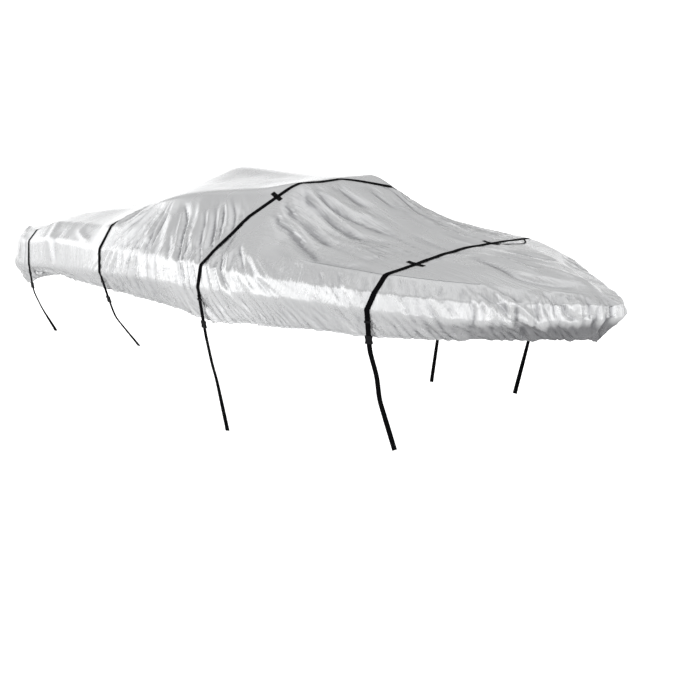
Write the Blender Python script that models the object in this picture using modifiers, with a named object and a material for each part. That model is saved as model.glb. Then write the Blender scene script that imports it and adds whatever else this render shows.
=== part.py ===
# A fitted boat cover: one silver cloth, drawn over the deck and gathered at its hem, held by four webbing
# straps that pass right over it and hang down both sides, with a slider and a buckle on every hanging end.
#
# Frame, in metres: +X to the bow, +Y to port, +Z up. The origin is the point under the cover's top where
# its stay carries it. The cloth is a loft: its "run" is the way round the rail, from the middle of the
# stern to the tip of the bow, and its "lanes" go from the middle of the top down to the hem.

import bpy
import bmesh
import numpy as np
from mathutils import Matrix, Vector
from mathutils.bvhtree import BVHTree

NAME = "boat_cover"

# Driving sizes
CLOTH = 0.0025  # thickness of the sheet
BAND_INSET = 0.060  # the side panel starts this far inside the rail
LANE_ROUND = 0.18  # creases are rounded over this share of a lane, each way
STRAP_DIP = 0.006  # how far a tight strap draws the cloth in
STRAP_CALM = 0.15  # folds die out this near to a strap
WEBBING_WIDTH = 0.038
WEBBING = 0.0024  # thickness of a strap
TAIL = 0.0020  # thickness of a loose tail, doubled back under its strap's slider
TAIL_WIDTH = 0.036
TAIL_PROUD = 0.035  # a tail shows this far past its slider and its buckle
LOOP_LENGTH = 0.150
LOOP = 0.0015  # thickness of a keeper loop
LOOP_DROP = 0.03  # a loop is set down from this far above the cloth
SEAT = 0.0004  # gap between pieces that touch
STRIP_EDGE = 0.020  # the cloth has a line this far to either side of a strap's middle
LOOP_EDGE = 0.080  # and a second one beside a strap that has keeper loops

# The cloth's sections along the run. x and beam place the rail, spineX and ridgeX the lanes of the top;
# inset and tuck are how far the deck edge and the hem lie inside the rail; the rest are heights.
STATION_COLUMNS = "x beam spineX crown ridgeX ridgeY ridgeZ inset deckZ bandZ railZ hemZ tuck".split()
STATIONS = {
    "stern": (-3.79, 0.00, -3.25, -0.635, -3.42, 0.00, -0.650, 0.19, -0.700, -0.80, -1.06, -1.22, 0.16),
    "sternQuarter": (-3.79, 0.55, -3.25, -0.635, -3.42, 0.45, -0.650, 0.19, -0.700, -0.80, -1.06, -1.22, 0.16),
    "sternEdge": (-3.77, 0.94, -3.25, -0.635, -3.41, 0.80, -0.650, 0.19, -0.690, -0.80, -1.06, -1.23, 0.16),
    "corner": (-3.67, 1.13, -3.25, -0.635, -3.37, 0.92, -0.655, 0.18, -0.670, -0.79, -1.05, -1.24, 0.15),
    "platform": (-3.43, 1.22, -3.24, -0.630, -3.28, 0.98, -0.660, 0.17, -0.665, -0.77, -1.03, -1.25, 0.10),
    "strap1": (-3.08, 1.27, -3.11, -0.580, -3.11, 0.95, -0.600, 0.15, -0.630, -0.74, -0.99, -1.10, 0.05),
    "transom": (-2.93, 1.27, -2.95, -0.455, -2.95, 0.88, -0.490, 0.18, -0.555, -0.70, -0.97, -1.04, 0.06),
    "aft": (-2.52, 1.28, -2.52, -0.400, -2.52, 0.75, -0.430, 0.18, -0.520, -0.665, -0.93, -1.03, 0.08),
    "aftDeck": (-2.02, 1.30, -2.02, -0.310, -2.02, 0.66, -0.360, 0.18, -0.485, -0.65, -0.89, -1.03, 0.08),
    "strap2": (-1.75, 1.31, -1.75, -0.250, -1.75, 0.66, -0.320, 0.18, -0.450, -0.65, -0.865, -1.025, 0.08),
    "rise": (-1.45, 1.32, -1.45, -0.100, -1.45, 0.98, -0.310, 0.18, -0.430, -0.62, -0.84, -1.02, 0.08),
    "hump": (-1.18, 1.325, -1.18, 0.005, -1.18, 0.96, -0.230, 0.18, -0.420, -0.61, -0.82, -1.015, 0.08),
    "humpTop": (-0.75, 1.33, -0.75, 0.020, -0.75, 0.82, -0.130, 0.19, -0.420, -0.60, -0.80, -1.02, 0.08),
    "strap3": (-0.26, 1.33, -0.26, 0.005, -0.26, 0.62, -0.070, 0.20, -0.470, -0.59, -0.775, -1.05, 0.08),
    "screen": (0.00, 1.325, 0.00, 0.005, 0.00, 0.48, 0.000, 0.19, -0.465, -0.595, -0.76, -1.03, 0.08),
    "screenFoot": (0.23, 1.31, 0.23, -0.070, 0.23, 0.52, -0.100, 0.18, -0.465, -0.60, -0.745, -1.00, 0.08),
    "slope": (0.57, 1.285, 0.57, -0.210, 0.57, 0.56, -0.295, 0.18, -0.465, -0.595, -0.725, -0.97, 0.08),
    "slopeFoot": (0.90, 1.24, 0.90, -0.330, 0.90, 0.60, -0.372, 0.18, -0.470, -0.59, -0.71, -0.935, 0.08),
    "strap4": (1.37, 1.16, 1.37, -0.425, 1.37, 0.58, -0.445, 0.18, -0.480, -0.58, -0.705, -0.91, 0.07),
    "fore": (1.78, 0.945, 1.65, -0.450, 1.73, 0.42, -0.465, 0.18, -0.510, -0.605, -0.73, -0.90, 0.08),
    "foreDeck": (2.13, 0.67, 1.90, -0.465, 2.00, 0.28, -0.490, 0.18, -0.545, -0.64, -0.75, -0.895, 0.09),
    "bow": (2.38, 0.43, 2.07, -0.480, 2.17, 0.18, -0.510, 0.17, -0.590, -0.665, -0.755, -0.905, 0.11),
    "bowCheek": (2.56, 0.22, 2.17, -0.490, 2.28, 0.09, -0.530, 0.15, -0.620, -0.68, -0.75, -0.925, 0.14),
    "nose": (2.65, 0.08, 2.23, -0.500, 2.35, 0.03, -0.540, 0.13, -0.640, -0.69, -0.75, -0.94, 0.17),
    "tip": (2.675, 0.00, 2.23, -0.500, 2.35, 0.00, -0.540, 0.12, -0.640, -0.69, -0.75, -0.94, 0.18),
}
HEM_LANE = 5
RAIL_LANE = 4

# Where the cloth has a line of points: down its lanes, and between two straps along the run.
LANE_STEPS = (0.0, 0.4, 0.8, 1.05, 1.35, 1.65, 1.9, 2.15, 2.55, 2.9, 3.25, 3.65, 4.0, 4.4, 5.0)
BAY_SPACING = {"stern": 0.135, "aft": 0.125, "hump": 0.080, "slope": 0.125, "bow": 0.115}
STRAP_MARGIN = 0.150  # from a strap's middle to the first plain line beside it

# Each strap's drift along the run, away from its station, at these lanes, to starboard and to port.
# reach is how far along the run the cloth's own lines drift with it.
DRIFT_LANES = (0.0, 0.5, 1.0, 1.5, 2.0, 3.0, 4.0, 5.0)
STRAPS = {
    "strap1": {
        "reach": 0.50,
        -1: (-0.12, -0.12, -0.12, -0.12, -0.115, -0.080, -0.050, -0.070),
        1: (-0.12, -0.12, -0.12, -0.12, -0.115, -0.080, -0.050, -0.070),
    },
    "strap2": {
        "reach": 0.50,
        -1: (0.0, 0.0, 0.0, 0.0, 0.0, 0.0, 0.03, -0.03),
        1: (0.0, 0.0, 0.0, 0.0, 0.0, 0.0, 0.03, -0.03),
    },
    "strap3": {
        "reach": 1.40,
        -1: (0.30, 0.31, 0.27, 0.09, 0.03, 0.01, 0.00, -0.06),
        1: (0.30, 0.40, 0.49, 0.54, 0.55, 0.54, 0.52, 0.50),
    },
    "strap4": {
        "reach": 0.60,
        -1: (0.0, 0.0, 0.03, 0.06, 0.08, 0.045, 0.0, -0.05),
        1: (0.0, 0.0, 0.01, 0.02, 0.02, 0.02, 0.0, -0.05),
    },
}

# Below the rail each strap hangs free through these points (half width, height), both sides alike.
# slider and buckle are the heights of its two fittings, both on the first, straight stretch.
HANG = {
    "strap1": {"points": ((1.240, -1.27), (1.170, -1.46), (1.040, -1.73)), "slider": -1.07, "buckle": -1.20},
    "strap2": {
        "points": ((1.215, -1.19), (1.180, -1.30), (1.070, -1.46), (0.950, -1.63)),
        "slider": -0.95,
        "buckle": -1.12,
    },
    "strap3": {
        "points": ((1.270, -1.17), (1.220, -1.43), (1.180, -1.58), (1.090, -2.06)),
        "slider": -0.87,
        "buckle": -1.08,
    },
    "strap4": {
        "points": ((1.120, -1.00), (1.040, -1.21), (1.010, -1.39), (0.830, -1.84)),
        "slider": -0.79,
        "buckle": -0.92,
    },
}

# Keeper loops sewn across the straps: the strap, the side and the half width where each one sits.
LOOPS = {
    "loop_1": {"strap": "strap3", "side": -1, "half": 0.64},
    "loop_2": {"strap": "strap4", "side": -1, "half": 0.66},
    "loop_3": {"strap": "strap4", "side": 1, "half": 0.32},
}

# The main folds, each through three places (run, lane), with its half width and its height, in or out.
FOLDS = (
    {"path": ((3.62, 0.95), (3.42, 2.1), (3.10, 4.2)), "width": 0.050, "height": 0.016},
    {"path": ((3.70, 1.05), (3.55, 2.2), (3.26, 4.5)), "width": 0.045, "height": -0.014},
    {"path": ((3.80, 1.10), (3.66, 2.3), (3.36, 4.6)), "width": 0.050, "height": 0.018},
    {"path": ((3.86, 1.15), (3.80, 2.4), (3.50, 4.8)), "width": 0.045, "height": -0.016},
    {"path": ((3.92, 1.20), (3.92, 2.6), (3.66, 4.8)), "width": 0.050, "height": 0.018},
    {"path": ((3.97, 1.20), (4.06, 2.5), (3.90, 4.6)), "width": 0.045, "height": -0.012},
    {"path": ((4.02, 1.20), (4.20, 2.3), (4.24, 4.4)), "width": 0.045, "height": 0.020},
    {"path": ((4.05, 1.20), (4.32, 2.9), (4.42, 4.6)), "width": 0.045, "height": -0.018},
    {"path": ((4.12, 1.10), (4.42, 2.3), (4.60, 4.5)), "width": 0.045, "height": 0.014},
    {"path": ((4.78, 2.2), (4.90, 3.5), (5.12, 4.5)), "width": 0.050, "height": -0.018},
    {"path": ((4.90, 2.1), (5.06, 3.2), (5.40, 4.6)), "width": 0.050, "height": 0.014},
    {"path": ((4.98, 1.30), (5.25, 1.45), (5.72, 1.95)), "width": 0.055, "height": -0.016},
    {"path": ((4.98, 1.05), (5.22, 1.12), (5.62, 1.35)), "width": 0.055, "height": -0.018},
    {"path": ((5.02, 0.80), (5.28, 0.85), (5.66, 0.95)), "width": 0.055, "height": -0.016},
    {"path": ((5.02, 0.15), (5.30, 0.35), (5.75, 0.55)), "width": 0.060, "height": -0.014},
    {"path": ((5.64, 3.0), (5.92, 3.7), (6.16, 4.4)), "width": 0.050, "height": 0.012},
    {"path": ((5.80, 0.25), (6.05, 0.30), (6.45, 0.30)), "width": 0.070, "height": -0.014},
    {"path": ((6.85, 0.60), (7.15, 1.15), (7.50, 1.65)), "width": 0.060, "height": -0.022},
    {"path": ((6.70, 2.6), (6.78, 3.8), (6.80, 4.9)), "width": 0.050, "height": 0.012},
    {"path": ((6.98, 2.5), (7.08, 3.8), (7.08, 4.9)), "width": 0.050, "height": -0.014},
    {"path": ((7.22, 2.5), (7.30, 3.8), (7.28, 4.9)), "width": 0.045, "height": 0.016},
    {"path": ((7.42, 2.4), (7.48, 3.7), (7.46, 4.9)), "width": 0.045, "height": -0.018},
    {"path": ((7.60, 2.4), (7.66, 3.7), (7.68, 4.9)), "width": 0.045, "height": 0.016},
    {"path": ((2.10, 0.9), (2.35, 1.5), (2.60, 2.3)), "width": 0.060, "height": -0.012},
    {"path": ((2.70, 1.6), (2.84, 2.0), (2.95, 2.6)), "width": 0.050, "height": 0.016},
    {"path": ((1.95, 1.9), (2.10, 2.8), (2.20, 3.8)), "width": 0.050, "height": 0.012},
    {"path": ((0.25, 1.9), (0.28, 3.0), (0.25, 4.6)), "width": 0.050, "height": -0.014},
    {"path": ((0.70, 1.9), (0.72, 3.0), (0.66, 4.6)), "width": 0.050, "height": 0.016},
    {"path": ((1.05, 2.0), (1.10, 3.0), (1.05, 4.6)), "width": 0.050, "height": -0.018},
    {"path": ((1.30, 2.0), (1.34, 3.0), (1.34, 4.4)), "width": 0.050, "height": 0.014},
)
PORT_SHIFT = 0.06  # the port side's folds lie this much further along the run
PORT_SHARE = 0.8  # and are this much as high

# Webbing fittings, in their own frame: X across the webbing, Y down along it, Z off its inner face.
TUNNEL_HALF = 0.0195  # half width of the slot that the webbing runs through
SLIDER = {"walls": 0.0022, "stations": ((-0.008, 0.0245), (0.008, 0.0245))}
BUCKLE = {
    "walls": 0.0030,
    "stations": ((-0.030, 0.0240), (-0.020, 0.0290), (-0.006, 0.0250), (0.006, 0.0250), (0.020, 0.0290), (0.030, 0.0240)),
}
CORNER = 0.0018  # chamfer of a fitting's outer corners

MATERIALS = {
    "silver_cloth": {"colour": (0.78, 0.79, 0.80, 1.0), "roughness": 0.38, "metallic": 0.35},
    "black_webbing": {"colour": (0.016, 0.016, 0.018, 1.0), "roughness": 0.72, "metallic": 0.0},
    "black_plastic": {"colour": (0.020, 0.020, 0.022, 1.0), "roughness": 0.42, "metallic": 0.0},
}

TABLE = np.array(list(STATIONS.values()))
COLUMN = {name: TABLE[:, index] for index, name in enumerate(STATION_COLUMNS)}
RAIL_STEPS = np.hypot(np.diff(COLUMN["x"]), np.diff(COLUMN["beam"]))
RUNS = np.concatenate([[0.0], np.cumsum(RAIL_STEPS)])
RUN_AT = dict(zip(STATIONS, RUNS))


def hermite(values, slopes, at):
    """A cubic through the stations' values with the given slopes, read at the runs."""
    span = np.diff(RUNS)
    index = np.clip(np.searchsorted(RUNS, at) - 1, 0, len(span) - 1)
    h = span[index]
    t = (at - RUNS[index]) / h
    start = (2 * t**3 - 3 * t**2 + 1) * values[index] + (t**3 - 2 * t**2 + t) * h * slopes[index]
    end = (3 * t**2 - 2 * t**3) * values[index + 1] + (t**3 - t**2) * h * slopes[index + 1]
    return start + end


def flowing(values, at):
    """Through the stations with round bends, for the rail's outline."""
    span, rise = np.diff(RUNS), np.diff(values) / np.diff(RUNS)
    slopes = np.concatenate([[rise[0]], np.zeros(len(rise) - 1), [rise[-1]]])
    slopes[1:-1] = (rise[:-1] * span[1:] + rise[1:] * span[:-1]) / (span[:-1] + span[1:])
    return hermite(values, slopes, at)


def steady(values, at):
    """Through the stations without overshoot, for the heights and insets."""
    span, rise = np.diff(RUNS), np.diff(values) / np.diff(RUNS)
    slopes = np.concatenate([[rise[0]], np.zeros(len(rise) - 1), [rise[-1]]])
    for i in range(1, len(rise)):
        if rise[i - 1] * rise[i] > 0:
            near, far = 2 * span[i] + span[i - 1], span[i] + 2 * span[i - 1]
            slopes[i] = (near + far) / (near / rise[i - 1] + far / rise[i])
    return hermite(values, slopes, at)


def rail_normals(run):
    """The rail's outward direction in plan, square to the middle line at both ends."""
    step = 0.01
    ahead = np.clip(run + step, 0, RUNS[-1])
    behind = np.clip(run - step, 0, RUNS[-1])
    along_x = flowing(COLUMN["x"], ahead) - flowing(COLUMN["x"], behind)
    along_y = flowing(COLUMN["beam"], ahead) - flowing(COLUMN["beam"], behind)
    at_stern, at_tip = run < step, run > RUNS[-1] - step
    along_x = np.where(at_stern | at_tip, 0.0, along_x)
    along_y = np.where(at_stern, 1.0, np.where(at_tip, -1.0, along_y))
    length = np.hypot(along_x, along_y)
    return -along_y / length, along_x / length


def lane_points(run, side):
    """The six lanes' points at each run, as an array (..., lane, xyz)."""
    here = {name: steady(values, run) for name, values in COLUMN.items()}
    here["x"] = flowing(COLUMN["x"], run)
    here["beam"] = flowing(COLUMN["beam"], run)
    out_x, out_y = rail_normals(run)

    def inside(depth, height):
        half = np.maximum(here["beam"] - out_y * depth, 0.0)
        return np.stack([here["x"] - out_x * depth, side * half, height], -1)

    spine = np.stack([here["spineX"], 0 * run, here["crown"]], -1)
    ridge = np.stack([here["ridgeX"], side * here["ridgeY"], here["ridgeZ"]], -1)
    deck = inside(here["inset"], here["deckZ"])
    band = inside(BAND_INSET, here["bandZ"])
    rail = inside(0.0, here["railZ"])
    hem = inside(here["tuck"], here["hemZ"])
    return np.stack([spine, ridge, deck, band, rail, hem], -2)


def surface(run, lane, side):
    """The smooth cloth at (run, lane): straight between lanes, with the creases at the lanes rounded."""
    run, lane = np.broadcast_arrays(np.asarray(run, float), np.asarray(lane, float))
    corners = lane_points(run, side)
    total = np.zeros(run.shape + (3,))
    shifts = np.linspace(-LANE_ROUND, LANE_ROUND, 5)
    for shift in shifts:
        across_middle = np.where((lane + shift < 0)[..., None] & np.array([False, True, False]), -1, 1)
        at = np.clip(np.abs(lane + shift), 0, HEM_LANE)
        low = np.clip(at.astype(int), 0, HEM_LANE - 1)
        part = (at - low)[..., None]
        upper = np.take_along_axis(corners, low[..., None, None], -2)[..., 0, :]
        lower = np.take_along_axis(corners, low[..., None, None] + 1, -2)[..., 0, :]
        total += (upper * (1 - part) + lower * part) * across_middle
    return total / len(shifts)


def drift(strap, lane, side):
    return np.interp(lane, DRIFT_LANES, STRAPS[strap][side])


def drifted(run, lane, side):
    """A plain cloth line's run at a lane: it leans with the straps near it."""
    lean = 0.0
    for strap, data in STRAPS.items():
        away = np.clip(np.abs(run - RUN_AT[strap]) / data["reach"], 0, 1)
        lean = lean + drift(strap, lane, side) * (0.5 + 0.5 * np.cos(np.pi * away))
    ends = np.sin(np.pi * run / RUNS[-1]) ** 0.25
    return np.clip(run + lean * ends, 0, RUNS[-1])


def unit(vectors):
    return vectors / np.maximum(np.linalg.norm(vectors, axis=-1, keepdims=True), 1e-12)


def surface_frame(run, lane, side):
    """The cloth's direction along the run and its outward normal."""
    step = 0.004
    ahead = surface(np.clip(run + step, 0, RUNS[-1]), lane, side)
    behind = surface(np.clip(run - step, 0, RUNS[-1]), lane, side)
    down = surface(run, np.clip(lane + step, 0, HEM_LANE), side)
    up = surface(run, np.clip(lane - step, 0, HEM_LANE), side)
    along = ahead - behind
    normal = side * np.cross(along, down - up)
    off_middle = (np.broadcast_to(lane, along.shape[:-1]) > 0)[..., None] | np.array([True, False, True])
    return unit(along * off_middle), unit(normal * off_middle)


def fold_path(fold, side):
    """The fold's line on the smooth cloth, and how far along it each of its points lies, from 0 to 1."""
    start, middle, end = (np.array(place) for place in fold["path"])
    t = np.linspace(0, 1, 25)[:, None]
    places = start * (1 - t) * (1 - 2 * t) + middle * 4 * t * (1 - t) + end * t * (2 * t - 1)
    shift = PORT_SHIFT if side > 0 else 0.0
    return surface(places[:, 0] + shift, places[:, 1], side), t[:, 0]


def fold_offset(points, run, lane, side):
    """How far the folds of both sides lift the cloth off its smooth surface at these points."""
    lift = np.zeros(points.shape[:-1])
    for fold, fold_side in [(fold, fold_side) for fold in FOLDS for fold_side in (-1, 1)]:
        path, along = fold_path(fold, fold_side)
        reach = np.linalg.norm(points[..., None, :] - path, axis=-1)
        taper = 1 - np.abs(2 * along[np.argmin(reach, -1)] - 1) ** 3
        height = fold["height"] * (PORT_SHARE if fold_side > 0 else 1.0)
        lift += height * taper * np.exp(-((np.min(reach, -1) / fold["width"]) ** 2))
    calm = np.ones(points.shape[:-1])
    for strap in STRAPS:
        gap = np.abs(run - RUN_AT[strap] - drift(strap, lane, side)) / STRAP_CALM
        calm *= np.clip(gap, 0, 1) ** 2 * (3 - 2 * np.clip(gap, 0, 1))
    return lift * calm


def strap_line(strap, side, lanes):
    """A strap's middle on the cloth, its direction across, and the cloth's outward normal there."""
    run = RUN_AT[strap] + drift(strap, lanes, side)
    across, normal = surface_frame(run, lanes, side)
    return surface(run, lanes, side) - STRAP_DIP * normal, across, normal


def plain_line(run, side, lanes):
    at = drifted(np.full(len(lanes), run), lanes, side)
    points = surface(at, lanes, side)
    normal = surface_frame(at, lanes, side)[1]
    return points + fold_offset(points, at, lanes, side)[:, None] * normal


def cloth_lines(side):
    """Every line of points down the cloth, from the stern's middle to the bow's tip."""
    lanes = np.array(LANE_STEPS)
    edges = [(-STRAP_MARGIN, None)] + [(RUN_AT[name], name) for name in STRAPS] + [(RUNS[-1] + STRAP_MARGIN, None)]
    lines = []
    for (start, strap), (end, _), spacing in zip(edges, edges[1:], BAY_SPACING.values()):
        if strap:
            middle, across, _ = strap_line(strap, side, lanes)
            looped = strap in [loop["strap"] for loop in LOOPS.values()]
            edges_beside = (STRIP_EDGE, LOOP_EDGE) if looped else (STRIP_EDGE,)
            offsets = sorted([-edge for edge in edges_beside] + list(edges_beside))
            lines += [middle + offset * across for offset in offsets]
        first, last = start + STRAP_MARGIN, end - STRAP_MARGIN
        count = round((last - first) / spacing) + 1
        lines += [plain_line(run, side, lanes) for run in np.linspace(first, last, count)]
    return lines


def material(name):
    made = bpy.data.materials.get(name)
    if made:
        return made
    look = MATERIALS[name]
    made = bpy.data.materials.new(name)
    made.use_nodes = True
    shader = made.node_tree.nodes["Principled BSDF"]
    shader.inputs["Base Color"].default_value = look["colour"]
    shader.inputs["Roughness"].default_value = look["roughness"]
    shader.inputs["Metallic"].default_value = look["metallic"]
    return made


def piece(name, mesh, finish):
    """A new object for the mesh, in the part's collection, with its material."""
    made = bpy.data.objects.new(name, mesh)
    bpy.data.collections[NAME].objects.link(made)
    mesh.materials.append(material(finish))
    return made


def grid_mesh(name, sheets):
    """One mesh of the grids (lines of points), with a flag each that turns its faces over."""
    work = bmesh.new()
    for lines, turned in sheets:
        rows = [[work.verts.new(point) for point in line] for line in lines]
        for row, beside in zip(rows, rows[1:]):
            for k in range(len(row) - 1):
                corners = [row[k], beside[k], beside[k + 1], row[k + 1]]
                work.faces.new(reversed(corners) if turned else corners)
    bmesh.ops.remove_doubles(work, verts=work.verts, dist=1e-5)
    mesh = bpy.data.meshes.new(name)
    work.to_mesh(mesh)
    work.free()
    return mesh


def thicken(made, thickness, outward):
    solid = made.modifiers.new("Thickness", "SOLIDIFY")
    solid.thickness = thickness
    solid.offset = 1.0 if outward else -1.0
    solid.use_even_offset = True


def make_cloth():
    cloth = piece("cover", grid_mesh("cover", [(cloth_lines(-1), True), (cloth_lines(1), False)]), "silver_cloth")
    cloth.data.shade_smooth()
    thicken(cloth, CLOTH, False)
    return cloth


def mitred_normals(points, across):
    """At each point of a ribbon's middle line, the vector that keeps both stretches beside it at height 1."""
    rung = unit((across[1:] + across[:-1]) / 2)
    stretch = unit(np.cross(rung, np.diff(points, axis=0)))
    before = np.concatenate([stretch[:1], stretch])
    after = np.concatenate([stretch, stretch[-1:]])
    normal = unit(before + after)
    return normal / np.sum(normal * after, -1)[:, None]


def side_route(strap, side):
    """The strap on one side, from the middle of the top, over the rail and down to its free end."""
    lanes = np.array([step for step in LANE_STEPS if step <= RAIL_LANE])
    middle, across, _ = strap_line(strap, side, lanes)
    rail_x = middle[-1][0]
    hanging = np.array([(rail_x, side * half, height) for half, height in HANG[strap]["points"]])
    return np.concatenate([middle, hanging]), np.concatenate([across, np.repeat(across[-1:], len(hanging), 0)])


def strap_route(strap):
    """The whole strap from its starboard end to its port end: middle, across and outward vectors."""
    star, star_across = side_route(strap, -1)
    port, port_across = side_route(strap, 1)
    points = np.concatenate([star[::-1], port[1:]])
    across = np.concatenate([star_across[::-1], port_across[1:]])
    outward = mitred_normals(points, across)
    return points, across, outward


def make_strap(strap):
    points, across, outward = strap_route(strap)
    seat = points + SEAT * outward
    half = WEBBING_WIDTH / 2
    mesh = grid_mesh(strap, [([seat - half * across, seat + half * across], False)])
    band = piece(strap, mesh, "black_webbing")
    thicken(band, WEBBING, True)


def fitting_frame(strap, side, height):
    """The frame of a fitting on the strap's first hanging stretch, at this height: X across, Z outward."""
    points, across, _ = strap_route(strap)
    rail_index = len(HANG[strap]["points"])
    if side > 0:
        rail_index = len(points) - 1 - rail_index
    rail, below = points[rail_index], points[rail_index + side]
    down = unit(below - rail)
    rung = unit(across[rail_index] - down * np.dot(across[rail_index], down)) * side
    outward = np.cross(rung, down)
    place = rail + (below - rail) * (height - rail[2]) / (below[2] - rail[2]) + SEAT * outward
    return Matrix((
        (rung[0], down[0], outward[0], place[0]),
        (rung[1], down[1], outward[1], place[1]),
        (rung[2], down[2], outward[2], place[2]),
        (0, 0, 0, 1),
    ))


def ring_section(place, half, low, high, corner):
    """A rectangle with cut corners, across the webbing at this place along it."""
    return [
        Vector((x, place, z))
        for x, z in (
            (-half + corner, low),
            (half - corner, low),
            (half, low + corner),
            (half, high - corner),
            (half - corner, high),
            (-half + corner, high),
            (-half, high - corner),
            (-half, low + corner),
        )
    ]


def ring_mesh(name, shape):
    """A fitting round the webbing and its tail: a lofted body with a slot right through it."""
    low, high = -SEAT, WEBBING + SEAT + TAIL + SEAT
    work = bmesh.new()
    places = shape["stations"]
    outer = [ring_section(y, half, low - shape["walls"], high + shape["walls"], CORNER) for y, half in places]
    outer = [[work.verts.new(corner) for corner in section] for section in outer]
    ends = (places[0][0], places[-1][0])
    inner = [[work.verts.new(corner) for corner in ring_section(y, TUNNEL_HALF, low, high, 0.0005)] for y in ends]
    shells = list(zip(outer, outer[1:])) + [(inner[1], inner[0]), (inner[0], outer[0]), (outer[-1], inner[1])]
    for first, second in shells:
        for k in range(len(first)):
            after = (k + 1) % len(first)
            work.faces.new((first[k], first[after], second[after], second[k]))
    bmesh.ops.recalc_face_normals(work, faces=work.faces)
    mesh = bpy.data.meshes.new(name)
    work.to_mesh(mesh)
    work.free()
    return mesh


def make_fittings(strap):
    """The slider, the buckle and the tail between them, on both hanging ends."""
    for side, where in ((-1, "starboard"), (1, "port")):
        frames = {}
        for kind, shape in (("slider", SLIDER), ("buckle", BUCKLE)):
            frames[kind] = fitting_frame(strap, side, HANG[strap][kind])
            name = f"{strap}_{kind}_{where}"
            piece(name, ring_mesh(name, shape), "black_plastic").matrix_world = frames[kind]
        length = (frames["buckle"].translation - frames["slider"].translation).length
        first, last = -TAIL_PROUD, length + TAIL_PROUD
        edges = [[Vector((x, y, WEBBING + SEAT)) for y in (first, last)] for x in (-TAIL_WIDTH / 2, TAIL_WIDTH / 2)]
        name = f"{strap}_tail_{where}"
        tail = piece(name, grid_mesh(name, [(edges, False)]), "black_webbing")
        tail.matrix_world = frames["slider"]
        thicken(tail, TAIL, True)


def make_loop(name, loop, cloth):
    """A keeper loop that lies along the cloth and bridges over its strap."""
    side, strap = loop["side"], loop["strap"]
    middle, across, _ = strap_line(strap, side, np.array(LANE_STEPS))
    k = np.searchsorted(np.abs(middle[:RAIL_LANE + 1, 1]), loop["half"])
    part = (loop["half"] - abs(middle[k - 1, 1])) / (abs(middle[k, 1]) - abs(middle[k - 1, 1]))
    centre = middle[k - 1] * (1 - part) + middle[k] * part
    rung = unit(across[k - 1] * (1 - part) + across[k] * part)
    down = unit(middle[k] - middle[k - 1])
    outward = unit(np.cross(down, rung)) * -side
    bridge = WEBBING_WIDTH / 2 + 0.004
    below = BVHTree.FromObject(cloth, bpy.context.evaluated_depsgraph_get())

    def seated(offset, edge):
        """The loop's underside here: just off the cloth, or off the strap where it bridges over."""
        start = Vector(centre + offset * rung + edge * down + LOOP_DROP * outward)
        hit = np.array(below.ray_cast(start, Vector(-outward))[0])
        return hit + (WEBBING + 2.5 * SEAT if abs(offset) <= bridge else 1.5 * SEAT) * outward

    half_steps = [0.5 * bridge, bridge, bridge + 0.012, 0.4 * LOOP_LENGTH, 0.5 * LOOP_LENGTH]
    offsets = [-step for step in reversed(half_steps)] + [0.0] + half_steps
    edges = (-WEBBING_WIDTH / 2, 0.0, WEBBING_WIDTH / 2)
    lines = [[seated(offset, edge) for offset in offsets] for edge in edges]
    made = piece(name, grid_mesh(name, [(lines, side > 0)]), "black_webbing")
    thicken(made, LOOP, True)


def main():
    for old in list(bpy.data.objects):
        bpy.data.objects.remove(old)
    collection = bpy.data.collections.new(NAME)
    bpy.context.scene.collection.children.link(collection)
    cloth = make_cloth()
    bpy.context.view_layer.update()
    for strap in STRAPS:
        make_strap(strap)
        make_fittings(strap)
    for name, loop in LOOPS.items():
        make_loop(name, loop, cloth)


main()
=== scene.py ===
import math

import bmesh
import bpy
import numpy as np
from mathutils import Matrix, Vector
from mathutils.bvhtree import BVHTree


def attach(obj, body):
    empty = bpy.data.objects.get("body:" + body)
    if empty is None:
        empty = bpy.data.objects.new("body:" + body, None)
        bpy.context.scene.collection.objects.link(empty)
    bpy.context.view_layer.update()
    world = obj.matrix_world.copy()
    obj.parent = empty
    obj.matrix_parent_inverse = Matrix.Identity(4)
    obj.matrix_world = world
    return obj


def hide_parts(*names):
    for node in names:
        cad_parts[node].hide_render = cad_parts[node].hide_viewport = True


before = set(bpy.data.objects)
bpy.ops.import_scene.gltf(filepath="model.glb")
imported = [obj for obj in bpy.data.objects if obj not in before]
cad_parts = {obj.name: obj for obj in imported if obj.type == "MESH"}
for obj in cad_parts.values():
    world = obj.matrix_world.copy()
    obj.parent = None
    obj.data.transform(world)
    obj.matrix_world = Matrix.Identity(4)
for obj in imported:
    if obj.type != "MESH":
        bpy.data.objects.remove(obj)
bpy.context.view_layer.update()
bpy.ops.object.select_all(action="DESELECT")
print("frame loaded")

# camera, first of all
photoView = {"place": (5.05837, -5.35510, 0.73035), "turn": 2.311882, "dip": 0.298191, "lens": 43.714,
             "sensor": 36.0, "clip": 200}


def setCamera():
    made = bpy.data.cameras.new("photoCamera")
    made.lens = photoView["lens"]
    made.sensor_width = photoView["sensor"]
    made.clip_end = photoView["clip"]
    holder = bpy.data.objects.new("photoCamera", made)
    bpy.context.scene.collection.objects.link(holder)
    turn, dip = photoView["turn"], photoView["dip"]
    ahead = (math.cos(turn) * math.cos(dip), math.sin(turn) * math.cos(dip), -math.sin(dip))
    holder.location = photoView["place"]
    holder.rotation_euler = Vector(ahead).to_track_quat("-Z", "Y").to_euler()
    bpy.context.scene.camera = holder


setCamera()

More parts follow.
